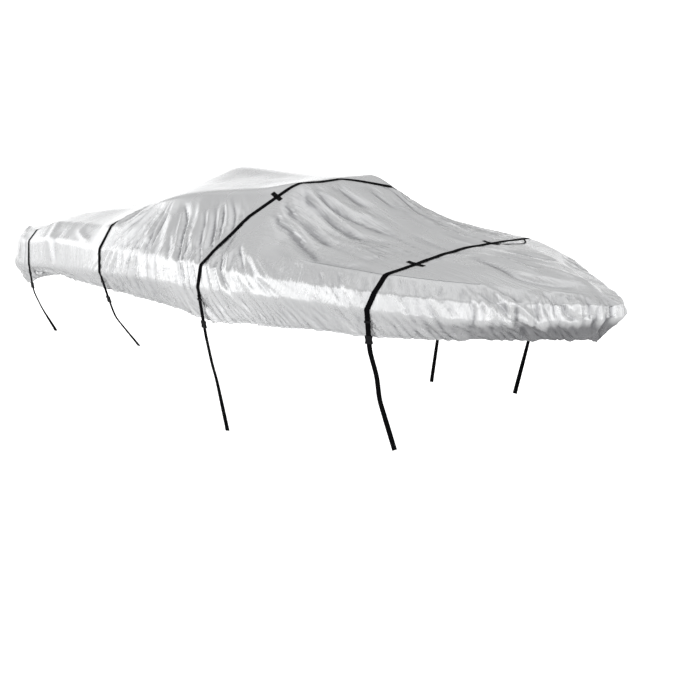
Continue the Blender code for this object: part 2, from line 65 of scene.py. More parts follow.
# the cut of the cloth, in metres: sections round the rail from the stern's middle to the bow's tip
coverCut = {
    "columns": "x beam spineX crown ridgeX ridgeY ridgeZ inset deckZ bandZ railZ hemZ tuck".split(),
    "sections": {
        "stern": (-3.79, 0.0, -3.25, -0.635, -3.42, 0.0, -0.65, 0.19, -0.7, -0.8, -1.06, -1.25, 0.11),
        "sternSide": (-3.79, 0.55, -3.25, -0.635, -3.42, 0.45, -0.65, 0.19, -0.7, -0.8, -1.06, -1.25, 0.11),
        "sternEdge": (-3.77, 0.94, -3.25, -0.635, -3.41, 0.8, -0.65, 0.19, -0.69, -0.8, -1.06, -1.26, 0.11),
        "corner": (-3.67, 1.13, -3.25, -0.635, -3.37, 0.92, -0.655, 0.18, -0.67, -0.79, -1.05, -1.27, 0.11),
        "platform": (-3.43, 1.22, -3.24, -0.63, -3.28, 0.98, -0.66, 0.17, -0.665, -0.77, -1.03, -1.235, 0.09),
        "strap1": (-3.08, 1.27, -3.11, -0.58, -3.11, 0.95, -0.6, 0.15, -0.63, -0.74, -0.99, -1.11, 0.08),
        "transom": (-2.93, 1.27, -2.95, -0.468, -2.95, 0.88, -0.52, 0.22, -0.555, -0.7, -0.97, -1.04, 0.06),
        "aft": (-2.52, 1.28, -2.52, -0.4, -2.52, 0.75, -0.43, 0.23, -0.52, -0.665, -0.93, -1.03, 0.08),
        "aftDeck": (-2.02, 1.3, -2.02, -0.272, -2.02, 0.66, -0.36, 0.22, -0.485, -0.65, -0.89, -1.03, 0.08),
        "strap2": (-1.75, 1.31, -1.75, -0.142, -1.75, 0.66, -0.32, 0.18, -0.45, -0.65, -0.865, -1.025, 0.08),
        "rise": (-1.45, 1.32, -1.45, -0.002, -1.45, 0.98, -0.31, 0.18, -0.43, -0.62, -0.84, -1.02, 0.08),
        "hump": (-1.18, 1.325, -1.18, 0.04, -1.18, 0.96, -0.195, 0.18, -0.42, -0.61, -0.82, -1.015, 0.08),
        "humpTop": (-0.75, 1.33, -0.75, 0.022, -0.75, 0.82, -0.105, 0.19, -0.42, -0.6, -0.8, -1.02, 0.08),
        "strap3": (-0.26, 1.33, -0.26, 0.005, -0.26, 0.62, -0.052, 0.2, -0.47, -0.59, -0.775, -1.05, 0.08),
        "screen": (0.0, 1.325, 0.0, 0.005, 0.0, 0.48, 0.0, 0.19, -0.465, -0.595, -0.76, -1.03, 0.08),
        "screenFoot": (0.23, 1.31, 0.23, -0.07, 0.23, 0.52, -0.1, 0.18, -0.465, -0.6, -0.745, -1.0, 0.08),
        "slope": (0.57, 1.285, 0.57, -0.21, 0.57, 0.56, -0.295, 0.18, -0.465, -0.595, -0.725, -0.97, 0.08),
        "slopeFoot": (0.9, 1.24, 0.9, -0.33, 0.9, 0.6, -0.372, 0.18, -0.47, -0.59, -0.71, -0.935, 0.08),
        "strap4": (1.37, 1.16, 1.37, -0.425, 1.37, 0.58, -0.445, 0.18, -0.48, -0.58, -0.705, -0.91, 0.07),
        "fore": (1.78, 0.945, 1.65, -0.45, 1.73, 0.42, -0.465, 0.18, -0.51, -0.605, -0.73, -0.9, 0.08),
        "foreDeck": (2.13, 0.67, 1.9, -0.465, 2.0, 0.28, -0.49, 0.18, -0.545, -0.62, -0.75, -0.895, 0.09),
        "bow": (2.38, 0.43, 2.07, -0.48, 2.17, 0.18, -0.51, 0.15, -0.58, -0.625, -0.755, -0.905, 0.11),
        "bowCheek": (2.56, 0.22, 2.17, -0.49, 2.28, 0.09, -0.53, 0.13, -0.605, -0.64, -0.75, -0.925, 0.14),
        "nose": (2.65, 0.08, 2.23, -0.5, 2.35, 0.03, -0.54, 0.15, -0.62, -0.65, -0.75, -0.94, 0.17),
        "tip": (2.675, 0.0, 2.23, -0.5, 2.35, 0.0, -0.54, 0.15, -0.62, -0.65, -0.75, -0.94, 0.18),
    },
    # how far in the band's top lies along the run: slack at the stern, steep at the bow
    "bandInset": ((1.0, 1.7, 6.5, 7.2), (0.1, 0.038, 0.038, 0.022)),
    # from this run on the bow's port shoulder lies further in, at the deck edge and the band's top
    "portSlim": {"deck": 0.1, "band": 0.05, "from": 6.7, "fadeIn": 0.6, "fadeOut": 0.5},
    "rounding": 0.08,  # share of a lane over which its crease is rounded
    "roundingSteps": 5,
    "railLane": 4,
    "hemLane": 5,
}
cutTable = np.array(list(coverCut["sections"].values()))
cutColumn = {name: cutTable[:, k] for k, name in enumerate(coverCut["columns"])}
runs = np.concatenate([[0.0], np.cumsum(np.hypot(np.diff(cutColumn["x"]), np.diff(cutColumn["beam"])))])
runAt = dict(zip(coverCut["sections"], runs))
wholeRun = runs[-1]


def unit(vectors):
    return vectors / np.maximum(np.linalg.norm(vectors, axis=-1, keepdims=True), 1e-12)


def smoothStep(t):
    t = np.clip(t, 0, 1)
    return t * t * (3 - 2 * t)


def throughSections(values, slopes, at):
    span = np.diff(runs)
    k = np.clip(np.searchsorted(runs, at) - 1, 0, len(span) - 1)
    h = span[k]
    t = (at - runs[k]) / h
    start = (2 * t**3 - 3 * t**2 + 1) * values[k] + (t**3 - 2 * t**2 + t) * h * slopes[k]
    end = (3 * t**2 - 2 * t**3) * values[k + 1] + (t**3 - t**2) * h * slopes[k + 1]
    return start + end


def stretches(values):  # their spans and rises, and a slope for each section, which is still 0 inside
    span, rise = np.diff(runs), np.diff(values) / np.diff(runs)
    return span, rise, np.concatenate([[rise[0]], np.zeros(len(rise) - 1), [rise[-1]]])


def roundBends(values, at):
    span, rise, slopes = stretches(values)
    slopes[1:-1] = (rise[:-1] * span[1:] + rise[1:] * span[:-1]) / (span[:-1] + span[1:])
    return throughSections(values, slopes, at)


def evenBends(values, at):  # never past the values at the sections
    span, rise, slopes = stretches(values)
    for k in range(1, len(rise)):
        if rise[k - 1] * rise[k] > 0:
            near, far = 2 * span[k] + span[k - 1], span[k] + 2 * span[k - 1]
            slopes[k] = (near + far) / (near / rise[k - 1] + far / rise[k])
    return throughSections(values, slopes, at)


def railOutward(run):
    step = 0.01
    ahead, behind = np.clip(run + step, 0, wholeRun), np.clip(run - step, 0, wholeRun)
    alongX = roundBends(cutColumn["x"], ahead) - roundBends(cutColumn["x"], behind)
    alongY = roundBends(cutColumn["beam"], ahead) - roundBends(cutColumn["beam"], behind)
    atStern, atTip = run < step, run > wholeRun - step
    alongX = np.where(atStern | atTip, 0.0, alongX)
    alongY = np.where(atStern, 1.0, np.where(atTip, -1.0, alongY))
    length = np.hypot(alongX, alongY)
    return -alongY / length, alongX / length


def laneCorners(run, side):  # spine, ridge, deck edge, band top, rail and hem at one run
    here = {name: evenBends(values, run) for name, values in cutColumn.items()}
    here["x"] = roundBends(cutColumn["x"], run)
    here["beam"] = roundBends(cutColumn["beam"], run)
    outX, outY = railOutward(run)
    bandInset = np.interp(run, *coverCut["bandInset"])
    if side > 0:
        port = coverCut["portSlim"]
        slim = smoothStep((run - port["from"]) / port["fadeIn"])
        slim = slim * smoothStep((wholeRun - run) / port["fadeOut"])
        here["inset"] = here["inset"] + port["deck"] * slim
        bandInset = bandInset + port["band"] * slim

    def inside(depth, height):
        half = np.maximum(here["beam"] - outY * depth, 0.0)
        return np.stack([here["x"] - outX * depth, side * half, height], -1)

    spine = np.stack([here["spineX"], 0 * run, here["crown"]], -1)
    ridge = np.stack([here["ridgeX"], side * here["ridgeY"], here["ridgeZ"]], -1)
    deck = inside(here["inset"], here["deckZ"])
    band = inside(bandInset, here["bandZ"])
    rail = inside(0.0, here["railZ"])
    hem = inside(here["tuck"], here["hemZ"])
    return np.stack([spine, ridge, deck, band, rail, hem], -2)


def clothAt(run, lane, side):  # side is -1 to starboard and 1 to port
    run, lane = np.broadcast_arrays(np.asarray(run, float), np.asarray(lane, float))
    corners = laneCorners(run, side)
    total = np.zeros(run.shape + (3,))
    for shift in np.linspace(-coverCut["rounding"], coverCut["rounding"], coverCut["roundingSteps"]):
        turned = np.where((lane + shift < 0)[..., None] & np.array([False, True, False]), -1, 1)
        at = np.clip(np.abs(lane + shift), 0, coverCut["hemLane"])
        low = np.clip(at.astype(int), 0, coverCut["hemLane"] - 1)
        part = (at - low)[..., None]
        upper = np.take_along_axis(corners, low[..., None, None], -2)[..., 0, :]
        lower = np.take_along_axis(corners, low[..., None, None] + 1, -2)[..., 0, :]
        total += (upper * (1 - part) + lower * part) * turned
    return total / coverCut["roundingSteps"]


def clothFrame(run, lane, side):  # the cloth's direction along the rail and its outward normal
    step = 0.004
    ahead, behind = np.clip(run + step, 0, wholeRun), np.clip(run - step, 0, wholeRun)
    along = clothAt(ahead, lane, side) - clothAt(behind, lane, side)
    lower, upper = [np.clip(lane + way * step, 0, coverCut["hemLane"]) for way in (1, -1)]
    down = clothAt(run, lower, side) - clothAt(run, upper, side)
    normal = side * np.cross(along, down)
    offMiddle = (np.broadcast_to(lane, along.shape[:-1]) > 0)[..., None] | np.array([True, False, True])
    return unit(along * offMiddle), unit(normal * offMiddle)


# where the four straps lie on it
strapLay = {
    "lanes": (0.0, 0.5, 1.0, 1.5, 2.0, 3.0, 4.0, 5.0),
    "drift": {  # along the rail, from each strap's section: to both sides, or to starboard and to port
        "strap1": [(-0.12, -0.12, -0.12, -0.12, -0.115, -0.08, -0.05, -0.07)],
        "strap2": [(0.0, 0.0, 0.0, 0.0, 0.0, 0.0, 0.03, -0.03)],
        "strap3": [
            (0.3, 0.31, 0.27, 0.09, 0.03, 0.01, 0.0, -0.06),
            (0.3, 0.4, 0.49, 0.54, 0.55, 0.54, 0.52, 0.5),
        ],
        "strap4": [
            (0.0, 0.0, 0.03, 0.06, 0.08, 0.045, 0.0, -0.05),
            (0.0, 0.0, 0.01, 0.02, 0.02, 0.02, 0.0, -0.05),
        ],
    },
    "dip": 0.006,  # how far a tight strap draws the cloth in
    "dipReach": 0.05,
    "calm": 0.06,  # folds fade this near to a strap
    "calmFrom": 0.012,
    "calmLeast": 0.30,
}


def strapRun(strap, lane, side):
    drift = strapLay["drift"][strap]
    return runAt[strap] + np.interp(lane, strapLay["lanes"], drift[-1] if side > 0 else drift[0])


# the folds
mainFolds = {  # half width and height of each, then its places (run, lane)
    "besideStrap2": (
        (0.034, 0.032, ((3.15, 2.0), (3.17, 1.45), (3.19, 0.8))),
    ),
    "quarter": (
        (0.05, 0.007, ((1.95, 1.9), (2.1, 2.8), (2.2, 3.8))),
        (0.03, -0.008, ((2.24, 2.36), (2.23, 3.01), (2.26, 3.81))),
        (0.024, 0.01, ((2.46, 2.24), (2.73, 2.71), (2.84, 2.74))),
    ),
    "aftFlank": (
        (0.05, 0.011, ((3.62, 0.95), (3.42, 2.1), (3.1, 4.2))),
        (0.045, -0.01, ((3.7, 1.05), (3.55, 2.2), (3.26, 4.5))),
        (0.036, 0.013, ((3.75, 1.31), (3.72, 2.6), (3.58, 4.4))),
        (0.018, -0.018, ((3.81, 1.42), (3.84, 1.95), (3.87, 2.54), (3.86, 3.39), (3.88, 4.2))),
        (0.04, 0.016, ((3.88, 1.4), (4.0, 2.4), (4.1, 4.6))),
        (0.014, -0.012, ((4.04, 2.15), (4.12, 2.78), (4.17, 3.23))),
    ),
    "humpFlank": (
        (0.024, -0.034, ((3.96, 1.24), (4.11, 1.79), (4.2, 2.34), (4.29, 3.07), (4.37, 3.75), (4.43, 4.76))),
        (0.016, -0.018, ((4.11, 1.5), (4.27, 2.28), (4.37, 3.39), (4.45, 4.2))),
        (0.022, 0.018, ((4.18, 1.5), (4.32, 2.3), (4.41, 3.3), (4.49, 4.5))),
        (0.018, -0.024, ((4.25, 1.7), (4.36, 2.61), (4.43, 3.5), (4.53, 4.57))),
        (0.02, -0.022, ((4.2, 1.38), (4.36, 1.89), (4.48, 2.47), (4.58, 3.07))),
        (0.022, -0.024, ((4.28, 1.3), (4.4, 1.68), (4.55, 2.1))),
        (0.018, -0.02, ((4.36, 1.25), (4.47, 1.66), (4.6, 1.98))),
    ),
    "strapWake": (
        (0.02, -0.03, ((4.7, 2.1), (4.77, 2.67), (4.82, 3.08), (4.88, 3.5), (5.0, 4.15))),
        (0.018, 0.02, ((4.78, 1.95), (4.89, 2.79), (4.95, 3.71))),
        (0.022, -0.02, ((4.84, 1.9), (4.94, 2.2), (5.06, 2.8))),
        (0.022, 0.016, ((4.88, 3.64), (5.02, 4.27), (5.2, 4.75))),
        (0.05, 0.014, ((4.9, 2.1), (5.06, 3.2), (5.4, 4.6))),
        (0.05, 0.012, ((5.64, 3.0), (5.92, 3.7), (6.16, 4.4))),
    ),
    "slope": (
        (0.034, 0.017, ((4.83, 1.29), (5.05, 1.42), (5.26, 1.47), (5.52, 1.63))),
        (0.03, -0.022, ((4.86, 1.28), (5.04, 1.32), (5.19, 1.34), (5.37, 1.36), (5.59, 1.48))),
        (0.026, 0.015, ((4.89, 1.23), (5.13, 1.28), (5.31, 1.25), (5.59, 1.36))),
        (0.034, -0.021, ((4.95, 1.09), (5.08, 1.05), (5.23, 1.05), (5.35, 1.01), (5.5, 1.0), (5.67, 1.0))),
        (0.03, 0.016, ((4.95, 0.88), (5.09, 0.89), (5.25, 0.88), (5.44, 0.87), (5.62, 0.91))),
        (0.032, -0.022, ((5.0, 0.83), (5.15, 0.84), (5.26, 0.78), (5.38, 0.69), (5.58, 0.63), (5.78, 0.61))),
        (0.036, 0.015, ((5.0, 0.75), (5.13, 0.67), (5.27, 0.58), (5.45, 0.41), (5.71, 0.35))),
        (0.05, -0.022, ((4.96, 0.31), (5.07, 0.32), (5.23, 0.27), (5.37, 0.15))),
        (0.03, -0.019, ((4.94, 1.47), (5.23, 1.56), (5.5, 1.73), (5.69, 1.95))),
        (0.04, 0.015, ((5.2, 1.71), (5.39, 1.83), (5.63, 2.09))),
        (0.06, -0.012, ((5.45, 1.05), (5.7, 0.92), (5.95, 0.7))),
        (0.07, -0.012, ((5.8, 0.25), (6.05, 0.3), (6.45, 0.3))),
    ),
    "bow": (
        (0.044, -0.03, ((6.5, 0.41), (6.88, 0.75), (7.22, 1.24), (7.55, 1.42), (7.79, 1.37))),
        (0.05, 0.019, ((6.46, 0.1), (6.94, 0.32), (7.39, 0.87))),
        (0.042, -0.017, ((6.55, 0.05), (7.02, 0.12), (7.4, 0.27))),
        (0.018, 0.016, ((7.24, 3.72), (7.35, 4.11), (7.46, 4.51))),
        (0.024, 0.026, ((6.99, 1.9), (7.2, 2.89), (7.33, 3.69), (7.46, 4.55))),
        (0.026, -0.022, ((6.93, 2.2), (7.12, 3.1), (7.24, 4.0), (7.34, 4.8))),
        (0.016, -0.022, ((7.43, 2.05), (7.44, 2.9), (7.44, 3.41), (7.48, 4.4)), "crisp"),
        (0.016, -0.02, ((7.47, 2.2), (7.5, 3.34), (7.54, 4.4)), "crisp"),
        (0.018, -0.024, ((7.54, 2.2), (7.55, 3.13), (7.6, 3.7), (7.7, 4.1)), "crisp"),
        (0.018, 0.016, ((7.49, 1.95), (7.62, 2.1), (7.74, 2.05))),
        (0.015, -0.022, ((7.73, 2.2), (7.74, 3.52), (7.79, 4.4)), "crisp"),
        (0.015, -0.022, ((7.84, 2.2), (7.79, 3.62), (7.78, 4.4)), "crisp"),
        (0.015, -0.02, ((7.9, 2.6), (7.91, 3.84), (7.86, 4.7)), "crisp"),
        (0.015, -0.022, ((7.37, 2.6), (7.38, 3.56), (7.4, 4.6)), "crisp"),
        (0.04, 0.01, ((6.7, 2.6), (6.78, 3.8), (6.8, 4.9))),
    ),
    "stern": (
        (0.05, -0.014, ((0.25, 1.9), (0.28, 3.0), (0.25, 4.6))),
        (0.05, 0.016, ((0.7, 1.9), (0.72, 3.0), (0.66, 4.6))),
        (0.05, -0.018, ((1.05, 2.0), (1.1, 3.0), (1.05, 4.6))),
        (0.04, 0.014, ((1.3, 2.0), (1.34, 3.0), (1.34, 4.4))),
        (0.026, -0.014, ((1.56, 2.2), (1.59, 3.87), (1.54, 4.82))),
    ),
}
creaseFans = {  # finer creases, spread between a first and a last line of (run, lane)
    "aftFan": {
        "first": ((3.56, 1.0), (3.3, 2.2), (2.98, 4.0)), "last": ((3.84, 1.25), (3.9, 2.6), (3.98, 4.8)),
        "count": 34, "width": 0.012, "height": 0.0105, "pleats": 9, "depth": 0.012, "seed": 3,
    },
    "humpPleats": {
        "first": ((3.9, 1.2), (4.1, 2.2), (4.24, 4.8)), "last": ((4.46, 1.1), (4.76, 2.0), (5.02, 4.8)),
        "count": 26, "width": 0.012, "height": 0.009, "pleats": 9, "depth": 0.012, "seed": 5,
    },
    "strapWake": {
        "first": ((4.76, 1.95), (4.84, 3.0), (4.96, 4.6)), "last": ((5.02, 1.8), (5.4, 3.0), (5.92, 4.5)),
        "count": 18, "width": 0.012, "height": 0.0055, "pleats": 6, "depth": 0.005, "seed": 8,
    },
    "screenSweep": {
        "first": ((4.98, 0.2), (5.25, 0.35), (5.95, 0.55)), "last": ((4.86, 1.45), (5.2, 1.72), (5.9, 2.0)),
        "count": 26, "width": 0.015, "height": 0.008, "pleats": 8, "depth": 0.013, "seed": 11, "long": True,
    },
    "bowCheeks": {
        "first": ((6.86, 2.3), (6.9, 3.4), (6.92, 4.9)), "last": ((7.95, 1.9), (7.95, 3.4), (7.95, 4.9)),
        "count": 44, "width": 0.01, "height": 0.0095, "pleats": 11, "depth": -0.01, "seed": 13,
    },
    "sternCrumple": {
        "first": ((0.1, 1.6), (0.08, 3.0), (0.1, 4.9)), "last": ((1.5, 1.8), (1.52, 3.0), (1.46, 4.8)),
        "count": 34, "width": 0.014, "height": 0.011, "pleats": 9, "depth": 0.02, "seed": 17,
    },
    "quarter": {
        "first": ((1.86, 1.9), (1.98, 3.0), (1.95, 4.8)), "last": ((3.0, 1.7), (3.02, 3.0), (2.96, 4.7)),
        "count": 12, "width": 0.013, "height": 0.0025, "pleats": 5, "depth": 0.0015, "seed": 19,
    },
    "foreFlank": {
        "first": ((5.7, 2.1), (5.84, 3.2), (6.06, 4.8)), "last": ((6.8, 2.2), (6.84, 3.2), (6.9, 4.8)),
        "count": 26, "width": 0.012, "height": 0.006, "pleats": 12, "depth": -0.01, "seed": 23,
    },
}
fanChance = {  # how the creases of a fan differ by chance
    "place": (0.1, 0.9), "long": 0.6, "shortest": 0.9, "end": 1.05, "wander": (0.012, 0.04),
    "height": (0.45, 1.5), "sunk": 0.45, "width": (0.75, 1.6),
}
pleatShape = {"slack": 0.12, "fade": 0.2, "endSlack": 0.1, "start": 0.16, "end": 0.12, "wander": 0.8}
foldReach = {"widths": 4.0, "lanes": 0.6, "steps": 33, "crest": 0.005}
portSide = {"shift": 0.06, "share": 0.8}  # the folds to port lie this much further on, and are lower


def grain(u, v, seed):  # smooth noise in two directions, about -0.7 to 0.7
    turns = np.random.default_rng(seed).random((128, 128)) * 2 * math.pi
    lowU, lowV = np.floor(u).astype(int), np.floor(v).astype(int)
    partU, partV = u - lowU, v - lowV

    def pull(stepU, stepV):
        turn = turns[(lowU + stepU) % 128, (lowV + stepV) % 128]
        return np.cos(turn) * (partU - stepU) + np.sin(turn) * (partV - stepV)

    fadeU = partU**3 * (partU * (6 * partU - 15) + 10)
    fadeV = partV**3 * (partV * (6 * partV - 15) + 10)
    top = pull(0, 0) * (1 - fadeU) + pull(1, 0) * fadeU
    return top * (1 - fadeV) + (pull(0, 1) * (1 - fadeU) + pull(1, 1) * fadeU) * fadeV


def sharpGrain(u, v, seed):  # the same noise folded into crests, about -0.5 to 0.5
    return 0.5 - np.abs(grain(u, v, seed)) * 2.4


def bendThrough(path, t):  # one smooth curve through all the places
    places = np.array(path)
    places = np.concatenate([2 * places[:1] - places[1:2], places, 2 * places[-1:] - places[-2:-1]])
    k = np.clip(np.floor(t * (len(path) - 1)), 0, len(path) - 2).astype(int)
    part = t * (len(path) - 1) - k
    before, start, end, after = (places[k[:, 0] + step] for step in range(4))
    bend = 2 * before - 5 * start + 4 * end - after + part * (3 * (start - end) + after - before)
    return start + part / 2 * (end - before + part * bend)


def spreadFans():  # the fans' creases, in the same rows as the main folds
    made = []
    for fan in creaseFans.values():
        chance = np.random.default_rng(fan["seed"])
        first, last = np.array(fan["first"]), np.array(fan["last"])
        for k in range(fan["count"]):
            share = np.clip((k + chance.uniform(*fanChance["place"])) / fan["count"], 0, 1)
            path = first * (1 - share) + last * share
            lanes = np.sort(chance.uniform(path[0, 1], path[2, 1], 2))
            long = chance.random() < fanChance["long"]
            shortEnd = max(lanes[1], lanes[0] + fanChance["shortest"])
            start, end = (path[0, 1], path[2, 1]) if long else (lanes[0], shortEnd)
            start, end = [(lane - path[0, 1]) / (path[2, 1] - path[0, 1]) for lane in (start, end)]
            at = np.array([start, (start + end) / 2, min(end, fanChance["end"])])[:, None]
            wander = [chance.normal(0, spread, 3) for spread in fanChance["wander"]]
            path = bendThrough(path, at) + np.stack(wander, 1)
            height = fan["height"] * chance.uniform(*fanChance["height"])
            height *= chance.choice((-1, 1), p=(fanChance["sunk"], 1 - fanChance["sunk"]))
            made.append((fan["width"] * chance.uniform(*fanChance["width"]), height, path, "crisp"))
    return made


def sideChange(side):
    return (portSide["shift"], portSide["share"]) if side > 0 else (0.0, 1.0)


def pleatGrid(run, lane, side):  # soft pleats with sharp crests that fill each fan
    total = np.zeros(run.shape)
    shift, lower = sideChange(side)
    r, l = run - shift, np.broadcast_to(lane, run.shape)
    shape = pleatShape
    for fan in creaseFans.values():
        first, last = np.array(fan["first"]), np.array(fan["last"])
        along, cross = (r, l) if fan.get("long") else (l, r)
        k = 0 if fan.get("long") else 1
        start = np.interp(along, first[:, k], first[:, 1 - k])
        end = np.interp(along, last[:, k], last[:, 1 - k])
        share = (cross - start) / (end - start)
        low, high = min(first[0, k], last[0, k]), max(first[-1, k], last[-1, k])
        reach = high - low
        inside = smoothStep((share + shape["slack"]) / shape["fade"])
        inside = inside * smoothStep((1 + shape["slack"] - share) / shape["fade"])
        inside = inside * smoothStep((along - low) / (shape["start"] * reach))
        inside = inside * smoothStep((high + shape["endSlack"] - along) / (shape["end"] * reach))
        wave = share * fan["pleats"] + shape["wander"] * grain(share * 2.5, along * 1.1 / reach, fan["seed"])
        pleats = sharpGrain(wave, along * 1.2 / reach, fan["seed"] + 1)
        total += fan["depth"] * inside * pleats
    return total * lower


def foldGrid(run, lane, points, side, folds):  # how far the folds lift each point of the sheet
    lift = np.zeros(points.shape[:-1])
    t = np.linspace(0, 1, foldReach["steps"])[:, None]
    shift, lower = sideChange(side)
    lanesPast, crest = foldReach["lanes"], foldReach["crest"]
    for width, height, path, *crisp in folds:
        places = bendThrough(path, t)
        onCloth = clothAt(places[:, 0] + shift, places[:, 1], side)
        reach = foldReach["widths"] * width
        least, most = places[:, 0].min() + shift - reach, places[:, 0].max() + shift + reach
        columns = np.where((run.max(1) > least) & (run.min(1) < most))[0]
        rows = np.where((lane > places[:, 1].min() - lanesPast) & (lane < places[:, 1].max() + lanesPast))[0]
        if not len(columns) or not len(rows):
            continue
        block = np.ix_(columns, rows)
        away = np.linalg.norm(points[block][..., None, :] - onCloth, axis=-1)
        nearest = np.argmin(away, -1)
        away = np.min(away, -1)
        taper = 1 - np.abs(2 * t[nearest, 0] - 1) ** 3
        if crisp:
            shape = np.exp(-(np.sqrt(away**2 + crest**2) - crest) / width)
        else:
            shape = np.exp(-((away / width) ** 2))
        lift[block] += height * lower * taper * shape
    return lift


# the sheet itself
coverSheet = {
    "runStep": 0.0210,  # between the columns of the mesh
    "closeStep": 0.0122,
    "closeRuns": ((3.05, 5.25), (6.62, 8.0)),  # where the creases are finest
    "closeFade": 0.15,
    "leanRuns": (0.0, 2.6, 3.3, 3.7, 3.9, 4.2, 4.5, 5.0, 5.6, 6.3, 6.9, 7.3, 7.5, 8.0),
    "lean": (0.0, 0.0, -0.17, -0.07, 0.03, 0.11, 0.13, 0.13, 0.15, 0.10, 0.12, 0.08, 0.0, 0.0),  # per lane
    "laneSteps": (20, 23, 12, 14, 17),  # rows of cloth between the lanes, top to hem
    "seeds": (40, 70),  # of the fine creases, to starboard and to port
    "hemFold": ((0.001, -0.004), (-0.006, -0.008), (-0.013, -0.002), (-0.015, 0.030)),  # out, up
    "gatherSlant": 0.17,  # the gathers lean this far to the bow over the lowest panel
    "gatherPitch": 0.070,
    "gatherHeight": 0.0225,
    "bandPitch": 0.055,
    "bandHeight": 0.0040,
    "bandTight": {"least": 0.12, "midships": 1.2, "bow": 1.1},  # shares of that height
    "crumple": 0.0038,
    "sternFrom": 1.7,  # the crumpled ends, along the run
    "bowFrom": 6.9,
    "drape": 0.0040,
    "flatRuns": (1.75, 3.1),  # between straps 1 and 2 the deck is drawn flat
    "flatShare": 0.75,
    "portBowSmooth": 0.8,
    "hollowDepth": 0.0100,  # a fold this far below the cloth round it gets the darkest painted shade
    "hollowSpread": 12,
    "endFade": 0.12,  # the folds are lower this near to the two ends of the middle line
    "endLift": 0.25,
}


def runPlaces():  # closer together where the creases are finest
    fine = np.linspace(0, wholeRun, 4001)
    step = np.full(fine.shape, coverSheet["runStep"])
    for start, end in coverSheet["closeRuns"]:
        inside = smoothStep((fine - start) / coverSheet["closeFade"])
        inside = inside * smoothStep((end - fine) / coverSheet["closeFade"])
        step += (coverSheet["closeStep"] - step) * inside
    count = np.concatenate([[0], np.cumsum(np.diff(fine) * 2 / (step[1:] + step[:-1]))])
    return np.interp(np.linspace(0, count[-1], round(count[-1]) + 1), count, fine)


def leaningRuns(run, lane):  # the rows of the mesh lean as the folds do
    lean = np.interp(run, coverSheet["leanRuns"], coverSheet["lean"])[:, None]
    fall = np.where(lane < 1, -lane, lane - 2)
    ends = smoothStep(np.minimum(run, wholeRun - run) / 0.5)[:, None]
    slant = coverSheet["gatherSlant"] * np.maximum(lane - coverCut["railLane"], 0) * ends
    return run[:, None] + lean * fall + slant


def averaged(values, times):  # each place takes on the mean of its neighbours
    for _ in range(times):
        wide = np.pad(values, 1, mode="edge")
        values = (wide[:-2, 1:-1] + wide[2:, 1:-1] + wide[1:-1, :-2] + wide[1:-1, 2:] + 2 * values) / 6
    return values


def gatherHeights(r, l, seed):  # elastic gathers of the lowest panel: soft pleats between sharp grooves
    leaning = r - coverSheet["gatherSlant"] * (l - coverCut["railLane"])
    leaning = leaning + 0.05 * grain(r * 1.3, l * 0.8, seed)
    share = smoothStep((l - 3.85) / 0.9) * (0.75 + 0.8 * grain(r * 0.9, l * 0.2 + 9, seed + 1))
    gathers = sharpGrain(leaning / coverSheet["gatherPitch"], l * 0.9, seed + 2)
    gathers += 0.45 * sharpGrain(leaning / coverSheet["gatherPitch"] * 2.1 + 7, l * 1.4, seed + 3)
    return -coverSheet["gatherHeight"] * share * gathers


def bandHeights(r, l, seed):  # upright creases of the side band
    inBand = smoothStep((l - 2.0) / 0.7) * smoothStep((4.7 - l) / 0.6)
    tight = coverSheet["bandTight"]
    share = tight["midships"] * smoothStep((r - 3.1) / 0.3) * smoothStep((5.2 - r) / 0.5)
    share = tight["least"] + share + tight["bow"] * smoothStep((r - 6.3) / 0.3)
    wander = r + 0.035 * grain(r * 2.1, l * 1.2, seed + 4)
    upright = sharpGrain(wander / coverSheet["bandPitch"], l * 0.55, seed + 5)
    upright += 0.5 * sharpGrain(wander / coverSheet["bandPitch"] * 2.3 + 3, l * 0.9, seed + 6)
    return coverSheet["bandHeight"] * inBand * share * upright


def endHeights(r, l, points, seed):  # crumpled cloth over the stern and the bow
    ends = smoothStep((coverSheet["sternFrom"] - r) / 0.5) + smoothStep((r - coverSheet["bowFrom"]) / 0.4)
    ends = ends * smoothStep((l - 1.6) / 0.8)
    height = points[..., 2] + 0.06 * grain(r * 3, l * 2, seed + 7)
    crumple = sharpGrain(r * 7 + 2.0 * height, height * 9, seed + 8)
    crumple += 0.5 * sharpGrain(r * 15, height * 17, seed + 9)
    return coverSheet["crumple"] * ends * crumple


def slackHeights(r, points):  # slack of the whole sheet, less of it where the deck is drawn flat
    x, y = points[..., 0], points[..., 1]
    slack = grain(x * 2.2, y * 2.2, 30) + 0.5 * grain(x * 5, y * 5 + 3, 31)
    start, end = coverSheet["flatRuns"]
    flat = smoothStep((r - start) / 0.15) * smoothStep((end - r) / 0.15)
    return coverSheet["drape"] * slack * (1 - coverSheet["flatShare"] * flat)


def underStraps(r, lane, side):  # the cloth is calm beside the straps and drawn in under them
    calm, dip = np.ones(r.shape), np.zeros(r.shape)
    least = strapLay["calmLeast"]
    for strap in strapLay["drift"]:
        gap = np.abs(r - strapRun(strap, lane, side)[None, :])
        calm *= least + (1 - least) * smoothStep((gap - strapLay["calmFrom"]) / strapLay["calm"])
        dip += strapLay["dip"] * np.exp(-((gap / strapLay["dipReach"]) ** 2))
    return calm, dip


